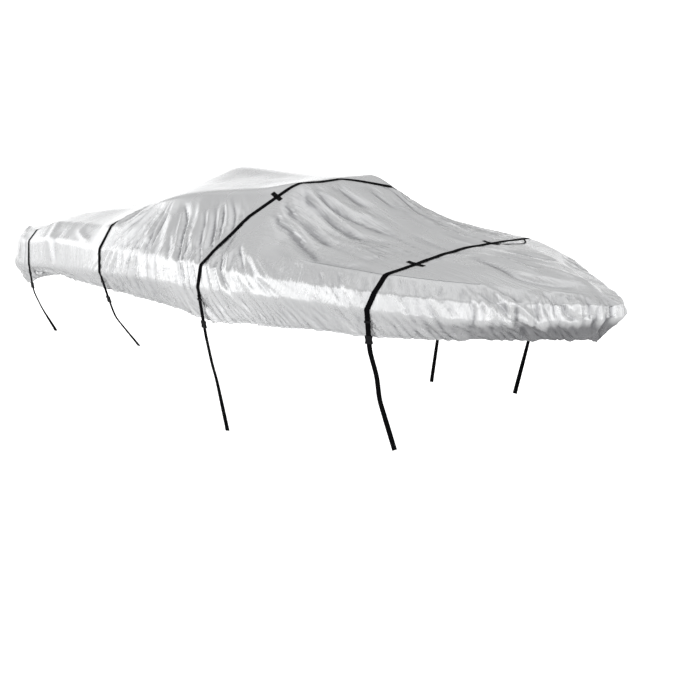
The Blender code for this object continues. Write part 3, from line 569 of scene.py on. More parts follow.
def sheetHeights(run, lane, points, side):  # how far each point stands above the plain cut
    r, l, seed = run, lane[None, :], coverSheet["seeds"][side > 0]
    lifts = {name: foldGrid(run, lane, points, side, folds) for name, folds in mainFolds.items()}
    beside = lifts.pop("besideStrap2")
    lift = sum(lifts.values()) + foldGrid(run, lane, points, side, spreadFans()) + pleatGrid(run, lane, side)
    lift = lift + gatherHeights(r, l, seed) + bandHeights(r, l, seed) + endHeights(r, l, points, seed)
    if side > 0:  # the bow's port shoulder is drawn smooth
        shoulder = smoothStep((3.9 - l) / 0.6) * smoothStep((r - coverSheet["bowFrom"]) / 0.3)
        lift = lift * (1 - coverSheet["portBowSmooth"] * shoulder)
    calm, dip = underStraps(r, lane, side)
    return (lift + slackHeights(r, points)) * calm * smoothStep(l / 0.3) + beside - dip


def sheetLanes():
    pieces = [np.linspace(k, k + 1, steps, endpoint=False) for k, steps in enumerate(coverSheet["laneSteps"])]
    return np.concatenate(pieces + [[coverCut["hemLane"]]])


def sheetGrid(side):  # one half of the sheet, with the folded hem along its lower edge
    rows, lane = runPlaces(), sheetLanes()
    run = leaningRuns(rows, lane)
    points = clothAt(run, lane, side)
    normal = clothFrame(run, np.broadcast_to(lane, run.shape), side)[1]
    lift = sheetHeights(run, lane, points, side)
    # how far each point lies below the cloth round it, which sets the painted shade in the folds
    hollow = averaged(lift, coverSheet["hollowSpread"]) - lift
    hollow = np.clip(hollow / coverSheet["hollowDepth"], 0, 1)
    ends = smoothStep(np.minimum(run, wholeRun - run) / coverSheet["endFade"])
    least = coverSheet["endLift"]
    points = points + (lift * (least + (1 - least) * ends))[..., None] * normal
    # both halves meet on the middle line at the stern and at the bow
    for row in (0, -1):
        points[row, :, 1] = 0.0
    points[:, 0, 1] = 0.0
    outward = unit(normal[:, -1] * np.array([1, 1, 0]))
    rolled = [points[:, -1] + out * outward + np.array([0, 0, up]) for out, up in coverSheet["hemFold"]]
    points = np.concatenate([points, np.stack(rolled, 1)], 1)
    steps = np.linalg.norm(np.diff(points, axis=1), axis=-1)
    fall = np.concatenate([np.zeros((len(rows), 1)), np.cumsum(steps, 1)], 1)
    hollow, run = [np.pad(values, ((0, 0), (0, len(rolled))), mode="edge") for values in (hollow, run)]
    return run, points, fall, hollow


def makeCover():  # both halves, joined on the middle line
    work = bmesh.new()
    sheetUv = work.loops.layers.uv.new("sheet")
    panelLayer = work.verts.layers.float.new("panel")
    riseLayer = work.verts.layers.float.new("hemRise")
    hollowLayer = work.verts.layers.float.new("hollow")
    for side in (-1, 1):
        run, points, fall, hollow = sheetGrid(side)
        hemFall = fall[:, sum(coverSheet["laneSteps"])]
        lanes = np.pad(sheetLanes(), (0, len(coverSheet["hemFold"])), mode="edge")
        rows = [[work.verts.new(point) for point in line] for line in points]
        for i, row in enumerate(rows):
            for k, vertex in enumerate(row):
                vertex[panelLayer] = lanes[k]
                vertex[riseLayer] = hemFall[i] - fall[i, k]
                vertex[hollowLayer] = hollow[i, k]
        for i in range(len(rows) - 1):
            for k in range(len(rows[i]) - 1):
                corners = [(i, k), (i + 1, k), (i + 1, k + 1), (i, k + 1)]
                if side < 0:
                    corners.reverse()
                face = work.faces.new([rows[a][b] for a, b in corners])
                face.smooth = True
                for loop, (a, b) in zip(face.loops, corners):
                    loop[sheetUv].uv = (side * run[a, b], fall[a, b] * side)
    bmesh.ops.remove_doubles(work, verts=work.verts, dist=2e-5)
    mesh = bpy.data.meshes.new("coverSheet")
    work.to_mesh(mesh)
    work.free()
    made = bpy.data.objects.new("coverSheet", mesh)
    bpy.context.scene.collection.objects.link(made)
    return made


cover = makeCover()
print("cover sheet:", len(cover.data.polygons), "faces", [round(x, 3) for x in cover.dimensions])

# webbing: four straps, their doubled tails and three keeper loops
webbing = {
    "width": 0.038, "thick": 0.0024, "columns": 8, "selvedge": 0.22, "endTurn": 0.035, "doubled": 1.9,
    "seat": 0.0004, "gap": 0.0008, "sideSteps": 100, "hangStep": 0.025,
    "tailWidth": 0.036, "tailThick": 0.0020, "tailProud": 0.035, "tailLift": 0.0035,
}
hanging = {  # below the rail: half widths and heights, the fittings' heights, and the lower end's twist
    "strap1": {"points": ((1.240, -1.27), (1.170, -1.46), (1.040, -1.73)),
               "slider": -1.07, "buckle": -1.20, "twist": 24},
    "strap2": {"points": ((1.215, -1.19), (1.180, -1.30), (1.070, -1.46), (0.950, -1.63)),
               "slider": -0.95, "buckle": -1.12, "twist": 10},
    "strap3": {"points": ((1.270, -1.17), (1.220, -1.43), (1.180, -1.58), (1.090, -2.06)),
               "slider": -0.87, "buckle": -1.08, "twist": 22},
    "strap4": {"points": ((1.120, -1.00), (1.040, -1.21), (1.010, -1.39), (0.830, -1.84)),
               "slider": -0.79, "buckle": -0.92, "twist": 35},
}
clothTree = BVHTree.FromObject(cover, bpy.context.evaluated_depsgraph_get())


def clothHeight(point, outward, reach=0.09):  # how far the fine cloth stands above the point
    hit = clothTree.ray_cast(Vector(point + outward * reach), Vector(-outward), 2 * reach)
    return reach - hit[3] if hit[0] is not None else -reach


def railPoint(strap, side):
    lane = coverCut["railLane"]
    run = strapRun(strap, lane, side)
    along, normal = clothFrame(run, lane, side)
    return clothAt(run, lane, side) - strapLay["dip"] * normal, along


def softened(values, times=1):  # each inner place moves towards its neighbours
    for _ in range(times):
        values[1:-1] = (values[:-2] + 2 * values[1:-1] + values[2:]) / 4
    return values


def sidePath(strap, side):  # from the spine over the fine cloth to the rail, then down the hanging end
    lanes = np.linspace(0, coverCut["railLane"], webbing["sideSteps"])
    run = strapRun(strap, lanes, side)
    across, normal = clothFrame(run, lanes, side)
    middle = clothAt(run, lanes, side)
    offsets = np.linspace(-0.5, 0.5, 5) * webbing["width"]
    rise = [max(clothHeight(p + x * a, n) for x in offsets) for p, a, n in zip(middle, across, normal)]
    spread = np.maximum(rise, np.maximum(np.roll(rise, 1), np.roll(rise, -1)))
    spread[0], spread[-1] = rise[0], rise[-1]
    middle = middle + (softened(spread) + webbing["gap"])[:, None] * normal
    rail, railAcross = railPoint(strap, side)
    drop = [rail] + [np.array([rail[0], side * half, height]) for half, height in hanging[strap]["points"]]
    hang = []
    for first, last in zip(drop, drop[1:]):
        count = max(2, round(np.linalg.norm(last - first) / webbing["hangStep"]))
        hang += [first + (last - first) * k / count for k in range(1, count + 1)]
    hang = softened(np.array(hang), 4)
    points = np.concatenate([middle, hang])
    share = np.concatenate([np.zeros(len(middle)), np.linspace(0, 1, len(hang))])
    across = np.concatenate([across, np.repeat(railAcross[None, :], len(hang), 0)])
    return points, across, share


def strapPath(strap):  # its places, and the directions across it and outward
    star, starAcross, starShare = sidePath(strap, -1)
    port, portAcross, portShare = sidePath(strap, 1)
    points = np.concatenate([star[::-1], port[1:]])
    across = np.concatenate([starAcross[::-1], portAcross[1:]])
    share = np.concatenate([-starShare[::-1], portShare[1:]])
    tangent = unit(np.gradient(points, axis=0))
    across = unit(across - np.sum(across * tangent, -1)[:, None] * tangent)
    outward = unit(np.cross(across, tangent))
    turn = np.radians(hanging[strap]["twist"]) * smoothStep((np.abs(share) - 0.5) / 0.5) * np.sign(share)
    cos, sin = np.cos(turn)[:, None], np.sin(turn)[:, None]
    return points, across * cos + outward * sin, outward * cos - across * sin


def stripMesh(work, points, across, outward, width, thick, uvLayer, endTurn=0.0):
    columns = webbing["columns"]
    x = np.linspace(-0.5, 0.5, columns + 1) * width
    edge = np.where(np.abs(x) > 0.49 * width, webbing["selvedge"], 0.0)  # the edges are a little thinner
    length = np.concatenate([[0], np.cumsum(np.linalg.norm(np.diff(points, axis=0), axis=1))])
    high = np.full(len(points), thick)
    if endTurn:
        doubled = (length < endTurn) | (length > length[-1] - endTurn)
        high = np.where(doubled, thick * webbing["doubled"], thick)
    rows, places = [], []
    for p, a, n, h, s in zip(points, across, outward, high, length):
        lower = [p + a * x[k] + n * (thick * edge[k]) for k in range(columns + 1)]
        upper = [p + a * x[k] + n * (h - thick * edge[k]) for k in range(columns, -1, -1)]
        rows.append([work.verts.new(place) for place in lower + upper])
        places.append([(s, value) for value in list(x) + list(x[::-1])])
    count = len(rows[0])
    for i in range(len(rows) - 1):
        for k in range(count):
            corners = [(i, k), (i, (k + 1) % count), (i + 1, (k + 1) % count), (i + 1, k)]
            face = work.faces.new([rows[a][b] for a, b in corners])
            for loop, (a, b) in zip(face.loops, corners):
                loop[uvLayer].uv = places[a][b]
    for row, place, turned in ((rows[0], places[0], True), (rows[-1], places[-1], False)):
        half = count // 2
        for k in range(columns):
            quad = [k, k + 1, count - 2 - k, count - 1 - k]
            if not turned:
                quad.reverse()
            face = work.faces.new([row[j] for j in quad])
            for loop, j in zip(face.loops, quad):
                loop[uvLayer].uv = place[j]


def stripObject(name, strips):
    work = bmesh.new()
    uvLayer = work.loops.layers.uv.new("strip")
    for strip in strips:
        stripMesh(work, *strip[:5], uvLayer, *strip[5:])
    bmesh.ops.recalc_face_normals(work, faces=work.faces)
    mesh = bpy.data.meshes.new(name)
    work.to_mesh(mesh)
    work.free()
    made = bpy.data.objects.new(name, mesh)
    bpy.context.scene.collection.objects.link(made)
    bpy.context.view_layer.objects.active = made
    made.select_set(True)
    bpy.ops.object.shade_smooth_by_angle(angle=math.radians(40))
    made.select_set(False)
    return made


looseTie = {"places": ((1.385, 0.335), (1.48, 0.43), (1.53, 0.53), (1.49, 0.66), (1.385, 0.8)),
            "width": 0.012, "thick": 0.0018, "above": 0.0022}


def looseTieStrip():  # the thin slack end that bows out beside the foremost strap
    t = np.linspace(0, len(looseTie["places"]) - 1, 41)
    places = np.array(looseTie["places"])
    plan = softened(np.stack([np.interp(t, range(len(places)), places[:, k]) for k in (0, 1)], 1), 12)
    up = np.array([0.0, 0.0, 1.0])
    points = []
    for x, y in plan:
        hit = clothTree.ray_cast(Vector((x, y, 0.3)), Vector((0, 0, -1)))[0]
        points.append(np.array(hit) + looseTie["above"] * up)
    points = np.array(points)
    tangent = unit(np.gradient(points, axis=0))
    across = unit(np.cross(tangent, up))
    return points, across, unit(np.cross(across, tangent)), looseTie["width"], looseTie["thick"]


strapPaths = {strap: strapPath(strap) for strap in hanging}
straps = {}
for strap, (points, across, outward) in strapPaths.items():
    strips = [(points, across, outward, webbing["width"], webbing["thick"], webbing["endTurn"])]
    if strap == "strap4":
        strips.append(looseTieStrip())
    straps[strap] = stripObject(strap + "Webbing", strips)
print("straps:", len(straps))


def fittingPlace(strap, side, height):  # X across the webbing, Y down along it, Z outward
    rail, along = railPoint(strap, side)
    half, foot = hanging[strap]["points"][0]
    below = np.array([rail[0], side * half, foot])
    down = unit(below - rail)
    rung = unit(along - down * np.dot(along, down)) * side
    outward = np.cross(rung, down)
    place = rail + (below - rail) * (height - rail[2]) / (below[2] - rail[2]) + webbing["seat"] * outward
    return Matrix([[*row, p] for row, p in zip(np.stack([rung, down, outward], 1), place)] + [[0, 0, 0, 1]])


def sameEach(direction, count):
    return np.repeat(direction[None, :], count, 0)


def tailStrip(strap, side):  # lies on the strap from its slider to its buckle, and stands off at both ends
    slider, buckle = [fittingPlace(strap, side, hanging[strap][kind]) for kind in ("slider", "buckle")]
    length = (buckle.translation - slider.translation).length
    y = np.linspace(-webbing["tailProud"], length + webbing["tailProud"], 24)
    lift = smoothStep((-0.012 - y) / 0.02) + smoothStep((y - length - 0.034) / 0.01)
    spot = np.stack([0 * y, y, webbing["thick"] + webbing["seat"] + webbing["tailLift"] * lift], 1)
    turn = np.array(slider.to_3x3())
    points = spot @ turn.T + np.array(slider.translation)
    across, outward = sameEach(turn[:, 0], len(y)), sameEach(turn[:, 2], len(y))
    return points, across, outward, webbing["tailWidth"], webbing["tailThick"]


sides = {"starboard": -1, "port": 1}
tails = {}
for strap in hanging:
    for word, side in sides.items():
        tails[strap, word] = stripObject(f"{strap}Tail{word.capitalize()}", [tailStrip(strap, side)])

keeperLoops = {
    "length": 0.150, "thick": 0.0015, "bridge": 0.024, "ramp": 0.014, "steps": 49,
    "seat": 0.0009, "over": 0.0008,
    "places": {"loop_1": ("strap3", -1, 0.64), "loop_2": ("strap4", -1, 0.66), "loop_3": ("strap4", 1, 0.32)},
    "onTop": 0.62,  # a keeper loop lies no further below the top than this
}


def keeperStrip(strap, side, half):  # seated on the fine cloth, and bridging the strap in its middle
    points, across, outward = strapPaths[strap]
    below = np.abs(points[:, 2]) > keeperLoops["onTop"]
    nearest = np.argmin(np.abs(points[:, 1] - side * half) + 10 * below)
    centre, rung, out = points[nearest], across[nearest], outward[nearest]
    along = np.linspace(-0.5, 0.5, keeperLoops["steps"]) * keeperLoops["length"]
    down = unit(np.cross(out, rung))
    edges = np.linspace(-0.5, 0.5, 5) * webbing["width"]
    rise = np.array([max(clothHeight(centre + s * rung + e * down, out) for e in edges) for s in along])
    over, half, ramp = webbing["thick"] + keeperLoops["over"], keeperLoops["bridge"], keeperLoops["ramp"]
    bridge = over * smoothStep((half + ramp - np.abs(along)) / ramp)
    level = np.where(np.abs(along) < half, over, -1)
    rise = softened(np.maximum(rise + keeperLoops["seat"] + bridge, level))
    spots = centre + along[:, None] * rung + rise[:, None] * out
    count = len(along)
    return spots, sameEach(-down, count), sameEach(out, count), webbing["width"], keeperLoops["thick"]


loops = {}
for name, place in keeperLoops["places"].items():
    loops[name] = stripObject(name.replace("_", "") + "Keeper", [keeperStrip(*place)])
print("tails and keeper loops:", len(tails), len(loops))

# buckles and sliders, each modelled once and copied
buckleShape = {
    "width": 0.052, "length": 0.060, "low": -0.0034, "high": 0.0084, "wall": 0.0030, "edge": 0.0010,
    "cutsAlong": (-0.021, -0.012, -0.003, 0.003, 0.012, 0.021), "cutsOver": (-0.019, -0.008, 0.008, 0.019),
    "waist": 0.93, "flare": 1.10, "tips": 1.02, "waistTo": 0.004, "sidesTo": 0.015, "flareTo": 0.025,
    "window": {"x": (0.008, 0.0195), "y": (-0.012, 0.012), "inset": 0.0012, "rise": -0.0016},
    "parting": {"x": (0.0, 0.019), "y": (0.012, 0.021), "inset": 0.0010, "rise": -0.0010},
    "thumbRest": {"x": (0.0, 0.008), "y": (-0.021, -0.003), "inset": 0.0016, "rise": 0.0007},
}
sliderShape = {
    "width": 0.048, "length": 0.016, "low": -0.0026, "high": 0.0078, "wall": 0.0022, "edge": 0.0008,
    "cutsAlong": (-0.0045, 0.0045), "cutsOver": (-0.019, 0.019),
    "groove": {"x": (0.0, 0.019), "y": (-0.0045, 0.0045), "inset": 0.0008, "rise": -0.0012},
}


def pickFaces(test):
    mesh = bmesh.from_edit_mesh(bpy.context.edit_object.data)
    bpy.ops.mesh.select_all(action="DESELECT")
    for face in mesh.faces:
        if test(face.calc_center_median(), face.normal):
            face.select = True
    bmesh.update_edit_mesh(bpy.context.edit_object.data)


def raisePanel(panel):  # an inset panel on the top face, raised or sunk
    (nearX, farX), (lowY, highY) = panel["x"], panel["y"]

    def within(centre, normal):
        onTop = normal.z > 0.9 and centre.z > 0.006
        return onTop and nearX <= abs(centre.x) < farX and lowY < centre.y < highY

    pickFaces(within)
    bpy.ops.mesh.inset(thickness=panel["inset"])
    bpy.ops.mesh.extrude_region_move(TRANSFORM_OT_translate={"value": (0, 0, panel["rise"])})


def cutAcross(axis, places):
    for place in places:
        bpy.ops.mesh.select_all(action="SELECT")
        spot, direction = [0, 0, 0], [0, 0, 0]
        spot[axis], direction[axis] = place, 1
        bpy.ops.mesh.bisect(plane_co=spot, plane_no=direction)


def sleeve(name, shape):  # a flat block with a slot right through it for the webbing
    middle = (shape["high"] + shape["low"]) / 2
    size = (shape["width"], shape["length"], shape["high"] - shape["low"])
    bpy.ops.mesh.primitive_cube_add(size=1, location=(0, 0, middle), scale=size)
    made = bpy.context.object
    made.name = name
    bpy.ops.object.transform_apply(location=True, rotation=True, scale=True)
    bpy.ops.object.mode_set(mode="EDIT")
    bpy.ops.mesh.select_mode(type="FACE")
    pickFaces(lambda centre, normal: abs(normal.y) > 0.9)
    bpy.ops.mesh.inset(thickness=shape["wall"])
    bpy.ops.mesh.delete(type="ONLY_FACE")
    mesh = bmesh.from_edit_mesh(made.data)
    bpy.ops.mesh.select_mode(type="EDGE")
    bpy.ops.mesh.select_all(action="DESELECT")
    for edge in mesh.edges:
        if edge.is_boundary:
            edge.select = True
    bmesh.update_edit_mesh(made.data)
    bpy.ops.mesh.bridge_edge_loops()
    bpy.ops.mesh.select_mode(type="FACE")
    return made


def finishFitting(made, edge):
    bpy.ops.object.mode_set(mode="OBJECT")
    bevel = made.modifiers.new("edges", "BEVEL")
    bevel.width = edge
    bevel.segments = 2
    bevel.limit_method = "ANGLE"
    bevel.angle_limit = math.radians(35)
    bpy.ops.object.modifier_apply(modifier="edges")
    bpy.ops.object.shade_smooth_by_angle(angle=math.radians(35))
    made.select_set(False)


def modelBuckle():
    made = sleeve("buckleModel", buckleShape)
    cutAcross(1, buckleShape["cutsAlong"])
    cutAcross(0, buckleShape["cutsOver"])
    mesh = bmesh.from_edit_mesh(made.data)
    for vertex in mesh.verts:  # waisted sides with flared ends
        away = abs(vertex.co.y)
        if away < buckleShape["waistTo"]:
            vertex.co.x *= buckleShape["waist"]
        elif away >= buckleShape["sidesTo"]:
            vertex.co.x *= buckleShape["flare"] if away < buckleShape["flareTo"] else buckleShape["tips"]
    bmesh.update_edit_mesh(made.data)
    for panel in ("window", "parting", "thumbRest"):  # the prongs show in the two side windows
        raisePanel(buckleShape[panel])
    finishFitting(made, buckleShape["edge"])
    return made


def modelSlider():
    made = sleeve("sliderModel", sliderShape)
    cutAcross(0, sliderShape["cutsOver"])
    cutAcross(1, sliderShape["cutsAlong"])
    raisePanel(sliderShape["groove"])
    finishFitting(made, sliderShape["edge"])
    return made


def copyTo(model, name, place):
    mesh = model.data.copy()
    mesh.name = name
    mesh.transform(place)
    made = bpy.data.objects.new(name, mesh)
    bpy.context.scene.collection.objects.link(made)
    return made


models = {"buckle": modelBuckle(), "slider": modelSlider()}
fittings = {}
for strap, data in hanging.items():
    for word, side in sides.items():
        for kind, model in models.items():
            name = f"{strap}{kind.capitalize()}{word.capitalize()}"
            fittings[strap, kind, word] = copyTo(model, name, fittingPlace(strap, side, data[kind]))
for model in models.values():
    bpy.data.objects.remove(model)
print("fittings:", len(fittings))


# finishes
class Wire:  # a socket that takes part in sums
    def __init__(self, socket):
        self.socket = socket

    def sum(self, operation, *values):
        return Finish.node(self.socket.id_data, "Math", {"operation": operation}, dict(enumerate(values)))

    def __add__(self, other):
        return self.sum("ADD", self, other)

    def __sub__(self, other):
        return self.sum("SUBTRACT", self, other)

    def __rsub__(self, other):
        return self.sum("SUBTRACT", other, self)

    def __mul__(self, other):
        return self.sum("MULTIPLY", self, other)

    def __lt__(self, other):
        return self.sum("LESS_THAN", self, other)

    def __gt__(self, other):
        return self.sum("GREATER_THAN", self, other)

    def __abs__(self):
        return self.sum("ABSOLUTE", self)

    def sine(self):
        return self.sum("SINE", self)

    def part(self, axis):
        return Finish.node(self.socket.id_data, "SeparateXYZ", {}, {0: self}, axis)

    def ramp(self, low, high, start=0.0, end=1.0, kind="SMOOTHSTEP"):
        places = {"Value": self, "From Min": low, "From Max": high, "To Min": start, "To Max": end}
        return Finish.node(self.socket.id_data, "MapRange", {"interpolation_type": kind}, places)

    __radd__ = __add__
    __rmul__ = __mul__


class Finish:  # a material, built from Wires
    def __init__(self, name, color, roughness, metallic=0.0):
        self.material = bpy.data.materials.new(name)
        self.material.use_nodes = True
        self.tree = self.material.node_tree
        self.shader = self.tree.nodes["Principled BSDF"]
        self.shader.inputs["Base Color"].default_value = (*color, 1.0)
        self.shader.inputs["Roughness"].default_value = roughness
        self.shader.inputs["Metallic"].default_value = metallic

    @staticmethod
    def node(tree, kind, settings=None, values=None, out=0):
        made = tree.nodes.new("ShaderNode" + kind)
        for name, value in (settings or {}).items():
            setattr(made, name, value)
        for name, value in (values or {}).items():
            if isinstance(value, Wire):
                tree.links.new(value.socket, made.inputs[name])
            else:
                made.inputs[name].default_value = value
        return Wire(made.outputs[out])

    def make(self, kind, settings=None, values=None, out=0):
        return Finish.node(self.tree, kind, settings, values, out)

    def feed(self, name, wire):
        self.tree.links.new(wire.socket, self.shader.inputs[name])

    def attribute(self, name):
        return self.make("Attribute", {"attribute_name": name}, out=2)

    def objectSpot(self):
        return self.make("TexCoord", out=3)

    def noise(self, vector, scale, detail=2.0, roughness=0.5):
        values = {"Vector": vector, "Scale": scale, "Detail": detail, "Roughness": roughness}
        return self.make("TexNoise", {}, values)

    def mixColors(self, share, *colors):
        first, second = [(*color, 1.0) if isinstance(color, tuple) else color for color in colors]
        return self.make("Mix", {"data_type": "RGBA"}, {0: share, 6: first, 7: second}, out=2)

    def relief(self, height, strength):
        self.feed("Normal", self.make("Bump", {}, {"Height": height, "Strength": strength, "Distance": 1.0}))


clothLook = {
    # the second colour is the darker cloudy tone and the painted shade in fold hollows, the third is painted
    # light, the last is painted shade
    "pale": (0.76, 0.765, 0.77), "dull": (0.46, 0.465, 0.48), "fresh": (0.90, 0.905, 0.91),
    "seam": (0.36, 0.37, 0.38), "shade": (0.15, 0.15, 0.16),
    "roughness": 0.27, "metallic": 0.72, "relief": 0.75,
    # heights of the fine relief
    "threadPitch": 0.0022, "thread": 0.00002, "crumple": 0.010, "pinch": 0.009,
    "seamHalf": 0.020, "seamTo": 7.0, "stitchLine": 0.030, "stitchHalf": 0.0022,
    # shares of the colours: the cloudy tone, the painted shade in fold hollows, the painted light on the
    # band, the painted shade in the deepest folds and under the bow
    "cloudShare": 0.25, "hollowShadeShare": 0.70, "paintedBandLightShare": 0.42, "creaseShadeShare": 0.36, "bowShadeShare": 0.80,
}
clothPlaces = {  # where a look starts and is full, across the panels or along the rail
    "onSide": ("panel", 1.7, 2.4), "onBand": ("panel", 2.8, 3.15), "low": ("panel", 3.9, 4.1),
    "under": ("panel", 4.0, 4.4), "atHem": ("panel", 4.2, 4.9),
    "atSlope": ("run", 4.65, 5.0), "aft": ("run", 4.3, 4.0), "atBow": ("run", 6.1, 7.6),
}


def silverCloth():
    made = Finish("silverCloth", clothLook["pale"], clothLook["roughness"], clothLook["metallic"])
    uv, spot = made.make("UVMap", {"uv_map": "sheet"}), made.objectSpot()
    u, v = uv.part(0), uv.part(1)
    panel, rise, hollow = [made.attribute(name) for name in ("panel", "hemRise", "hollow")]
    ways = {"panel": panel, "run": abs(u)}
    at = {name: ways[way].ramp(low, high) for name, (way, low, high) in clothPlaces.items()}
    # two sets of threads
    turn = 2 * math.pi / clothLook["threadPitch"]
    threads = (u * turn).sine() * (v * turn).sine()
    # fine crumpling with sharp crests: upright on the sides, lengthwise on the slope, even on top
    stretched = made.make("Mapping", {}, {"Vector": uv, "Scale": (26.0, 5.0, 1.0)})
    upright = made.noise(stretched, 1.0, 4.0, 0.55) + abs(made.noise(stretched, 1.7, 3.0, 0.5) - 0.5) * 1.2
    even = made.noise(spot, 9.0, 4.0, 0.55) + abs(made.noise(spot, 7.0, 3.0, 0.5) - 0.5) * 0.4
    lengthwise = made.make("Mapping", {}, {"Vector": uv, "Scale": (1.5, 15.0, 1.0)})
    streaks = made.noise(lengthwise, 1.0, 3.0, 0.5) - abs(made.noise(lengthwise, 1.6, 2.0, 0.5) - 0.5) * 1.4
    busy = abs(abs(u) - 2.43).ramp(0.5, 0.8, 0.35, 1.0, "LINEAR")
    onTop = (even * 0.10 + streaks * at["atSlope"] * 0.75) * (1.0 - at["onSide"])
    crumple = upright * at["onSide"] * busy + onTop
    # the hem is pinched by its elastic
    leaning = made.make("CombineXYZ", {}, {0: (abs(u) + rise * 0.85) * 42.0, 1: rise * 9.0})
    pinch = made.noise(leaning, 1.0, 2.0, 0.5) * at["atHem"] * clothLook["pinch"]
    made.relief(crumple * clothLook["crumple"] + pinch + threads * clothLook["thread"], clothLook["relief"])
    # colour: cloudy at random, with painted shade in the hollows of the folds and painted light on the band
    # amidships
    dull = made.noise(spot, 1.7, 3.0, 0.6) * clothLook["cloudShare"] + hollow * clothLook["hollowShadeShare"]
    color = made.mixColors(dull, clothLook["pale"], clothLook["dull"])
    # painted light on the band amidships, where the band faces the light
    midships = abs(abs(u) - 4.15).ramp(0.95, 1.3)
    fresh = at["onBand"] * (1.0 - midships) * (1.0 - at["aft"] * at["low"]) * clothLook["paintedBandLightShare"]
    color = made.mixColors(fresh, color, clothLook["fresh"])
    # painted shade at the bottoms of the deepest folds
    creaseShade = hollow.ramp(0.60, 1.0, 0.0, clothLook["creaseShadeShare"], "LINEAR")
    color = made.mixColors(creaseShade, color, clothLook["shade"])
    # the seam along the bow's deck edge and the stitches of the hem
    fore = abs(u).ramp(5.5, 5.75, kind="LINEAR")
    seam = (abs(panel - 2.0) < clothLook["seamHalf"]) * fore * (abs(u) < clothLook["seamTo"]) * 0.9
    stitch = (abs(rise - clothLook["stitchLine"]) < clothLook["stitchHalf"]) * 0.5
    color = made.mixColors(seam + stitch, color, clothLook["seam"])
    # painted shade on the drawn-in cloth under the bow
    color = made.mixColors(at["under"] * at["atBow"] * clothLook["bowShadeShare"], color, clothLook["shade"])
    made.feed("Base Color", color)
    made.feed("Roughness", made.noise(spot, 3.1, 3.0) * 0.14 + (clothLook["roughness"] - 0.07))
    return made.material


webbingLook = {
    "black": (0.003, 0.003, 0.0035), "worn": (0.008, 0.008, 0.009), "stitch": (0.10, 0.10, 0.10),
    "roughness": 0.85, "shine": 0.02, "rib": 0.0019, "weave": 0.0002, "ribHeight": 0.00012,
    "wornFrom": 0.0165,  # its edges, from the middle line
    "box": (0.037, 0.069), "boxHalf": 0.014, "thread": 0.0009,  # stitches of a keeper loop, from its middle
}


def blackWebbing(name, stitched):
    made = Finish(name, webbingLook["black"], webbingLook["roughness"])
    made.shader.inputs["Specular IOR Level"].default_value = webbingLook["shine"]
    uv = made.make("UVMap", {"uv_map": "strip"})
    u, v = uv.part(0), uv.part(1)
    turn = 2 * math.pi / webbingLook["rib"]
    ribs, cords = (u * turn).sine(), (v * turn * 0.6).sine()
    made.relief(ribs * cords * webbingLook["weave"] + ribs * webbingLook["ribHeight"], 0.8)
    wear = made.noise(made.objectSpot(), 24.0, 3.0) * 0.5 + (abs(v) > webbingLook["wornFrom"]) * 0.35
    color = made.mixColors(wear, webbingLook["black"], webbingLook["worn"])
    if stitched:
        (near, far), half, thread = webbingLook["box"], webbingLook["boxHalf"], webbingLook["thread"]
        fromMiddle = abs(u - keeperLoops["length"] / 2)
        inBox = (fromMiddle > near - 0.001) * (fromMiddle < far + 0.001)
        sideLines = (abs(abs(v) - half) < thread) * inBox
        endLines = (abs(fromMiddle - near) < thread) + (abs(fromMiddle - far) < thread)
        dashes = (u * 900).sine() > -0.4
        lines = (sideLines + endLines * (abs(v) < half + 0.0005)) * dashes
        color = made.mixColors(lines, color, webbingLook["stitch"])
    made.feed("Base Color", color)
    return made.material


plasticLook = {
    "black": (0.008, 0.008, 0.009), "scuffed": (0.018, 0.018, 0.019), "roughness": 0.48, "shine": 0.10,
}


def blackPlastic():
    made = Finish("blackPlastic", plasticLook["black"], plasticLook["roughness"])
    made.shader.inputs["Specular IOR Level"].default_value = plasticLook["shine"]
    spot = made.objectSpot()
    scuffs = made.noise(spot, 60.0, 4.0, 0.7)
    made.relief(made.noise(spot, 900.0, 2.0) * 0.00008, 0.6)
    made.feed("Base Color", made.mixColors(scuffs * 0.5, plasticLook["black"], plasticLook["scuffed"]))
    made.feed("Roughness", scuffs * 0.2 + (plasticLook["roughness"] - 0.1))
    return made.material


finishes = {
    "cloth": silverCloth(),
    "strap": blackWebbing("blackWebbing", False),
    "keeper": blackWebbing("stitchedWebbing", True),
    "plastic": blackPlastic(),
}


def dress(made, finish, slot, *nodes):
    made.data.materials.clear()
    made.data.materials.append(finishes[finish])
    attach(made, "root")
    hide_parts(*nodes)


dress(cover, "cloth", "silver_cloth", "cover")
for strap, made in straps.items():
    dress(made, "strap", "black_webbing", strap)
for (strap, word), made in tails.items():
    dress(made, "strap", "black_webbing", f"{strap}_tail_{word}")
for name, made in loops.items():
    dress(made, "keeper", "black_webbing", name)
for (strap, kind, word), made in fittings.items():
    dress(made, "plastic", "black_plastic", f"{strap}_{kind}_{word}")
print("dressed")

# stage
stageLook = {"floor": -2.2, "size": 900, "pale": (0.88, 0.88, 0.88), "glow": 0.80, "lit": 0.10}


def makeStage():
    bpy.ops.mesh.primitive_plane_add(size=stageLook["size"], location=(0, 0, stageLook["floor"]))
    floor = bpy.context.object
    floor.name = "floor"
    look = Finish("paleFloor", stageLook["pale"], 0.9)
    look.shader.inputs["Emission Strength"].default_value = 1.0
    seen = look.make("LightPath", out=0)
    # it looks white, and lights the cloth less
    look.feed("Emission Color", seen * stageLook["glow"] + stageLook["lit"])
    floor.data.materials.append(look.material)
    floor.select_set(False)


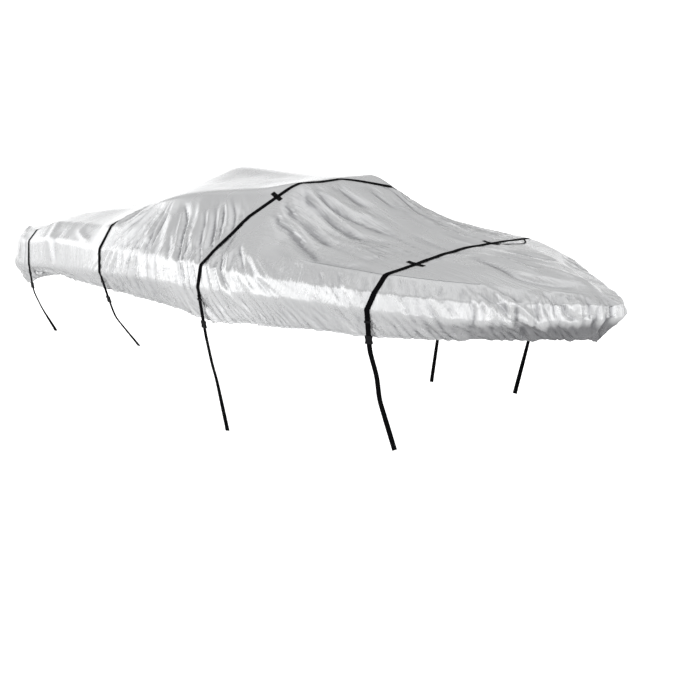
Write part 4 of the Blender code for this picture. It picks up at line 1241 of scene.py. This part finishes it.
lamp = {"place": (-25.3, -9.8, 9.0), "aim": (0, 0, -0.6), "size": (13, 7), "power": 130}
skyLook = {
    "turn": (-0.10, 0.20),  # over this stretch it changes from behind the cover to before it
    # each behind the cover, then before it: the strengths, and where the bright part ends
    "bright": (1.55, 1.28), "glare": (0.05, 0.45), "grey": (0.60, 0.46), "top": (0.38, 0.12),
    "limit": (0.30, 0.66), "soft": (0.05, 0.18),
    "glareTo": 0.35, "topFrom": (0.66, 0.96),
    "ahead": {"from": (-0.76, -0.52), "lower": 0.185, "harder": 0.030},  # the bright part ends lower there
    "front": {"from": (0.36, 0.60), "brighter": 0.22},
    "dimmer": {"ahead": ((0.1, 0.5, 1.0, 0.78), (0.6, 0.9, 0.0, 0.38)), "before": (0.84, 0.97, 1.0, 0.68)},
}


def makeLamp():
    data = bpy.data.lights.new("left", "AREA")
    data.shape = "RECTANGLE"
    data.size, data.size_y = lamp["size"]
    data.energy = lamp["power"]
    holder = bpy.data.objects.new("left", data)
    holder.visible_camera = False
    bpy.context.scene.collection.objects.link(holder)
    holder.location = lamp["place"]
    away = Vector(lamp["aim"]) - Vector(lamp["place"])
    holder.rotation_euler = away.to_track_quat("-Z", "Y").to_euler()


def makeSky():  # bright low down and grey above, as the cloth mirrors it
    world = bpy.data.worlds.new("studio")
    world.use_nodes = True
    bpy.context.scene.world = world
    tree = world.node_tree
    way = Finish.node(tree, "TexCoord")
    ahead, before, height = way.part(0), way.part(1) * -1.0, way.part(2)
    names = ("bright", "glare", "limit", "soft", "grey", "top")
    bright, glare, limit, half, grey, top = [before.ramp(*skyLook["turn"], *skyLook[name]) for name in names]
    bright = bright + before.ramp(*skyLook["front"]["from"], 0.0, skyLook["front"]["brighter"])
    bright = bright + height.ramp(0.0, skyLook["glareTo"], 1.0, 0.0) * glare
    off = ahead.ramp(*skyLook["ahead"]["from"]) * before.ramp(*skyLook["turn"], 1.0, 0.0)
    limit, half = limit - off * skyLook["ahead"]["lower"], half - off * skyLook["ahead"]["harder"]
    first, second = [ahead.ramp(*places) for places in skyLook["dimmer"]["ahead"]]
    bright = bright * (first + second) * before.ramp(*skyLook["dimmer"]["before"])
    sky = height.ramp(limit - half, limit + half, bright, grey) + height.ramp(*skyLook["topFrom"], 0.0, top)
    tree.links.new(sky.socket, tree.nodes["Background"].inputs["Color"])
    bpy.context.scene.view_settings.view_transform = "Standard"


makeStage()
makeLamp()
makeSky()
bpy.context.view_layer.update()
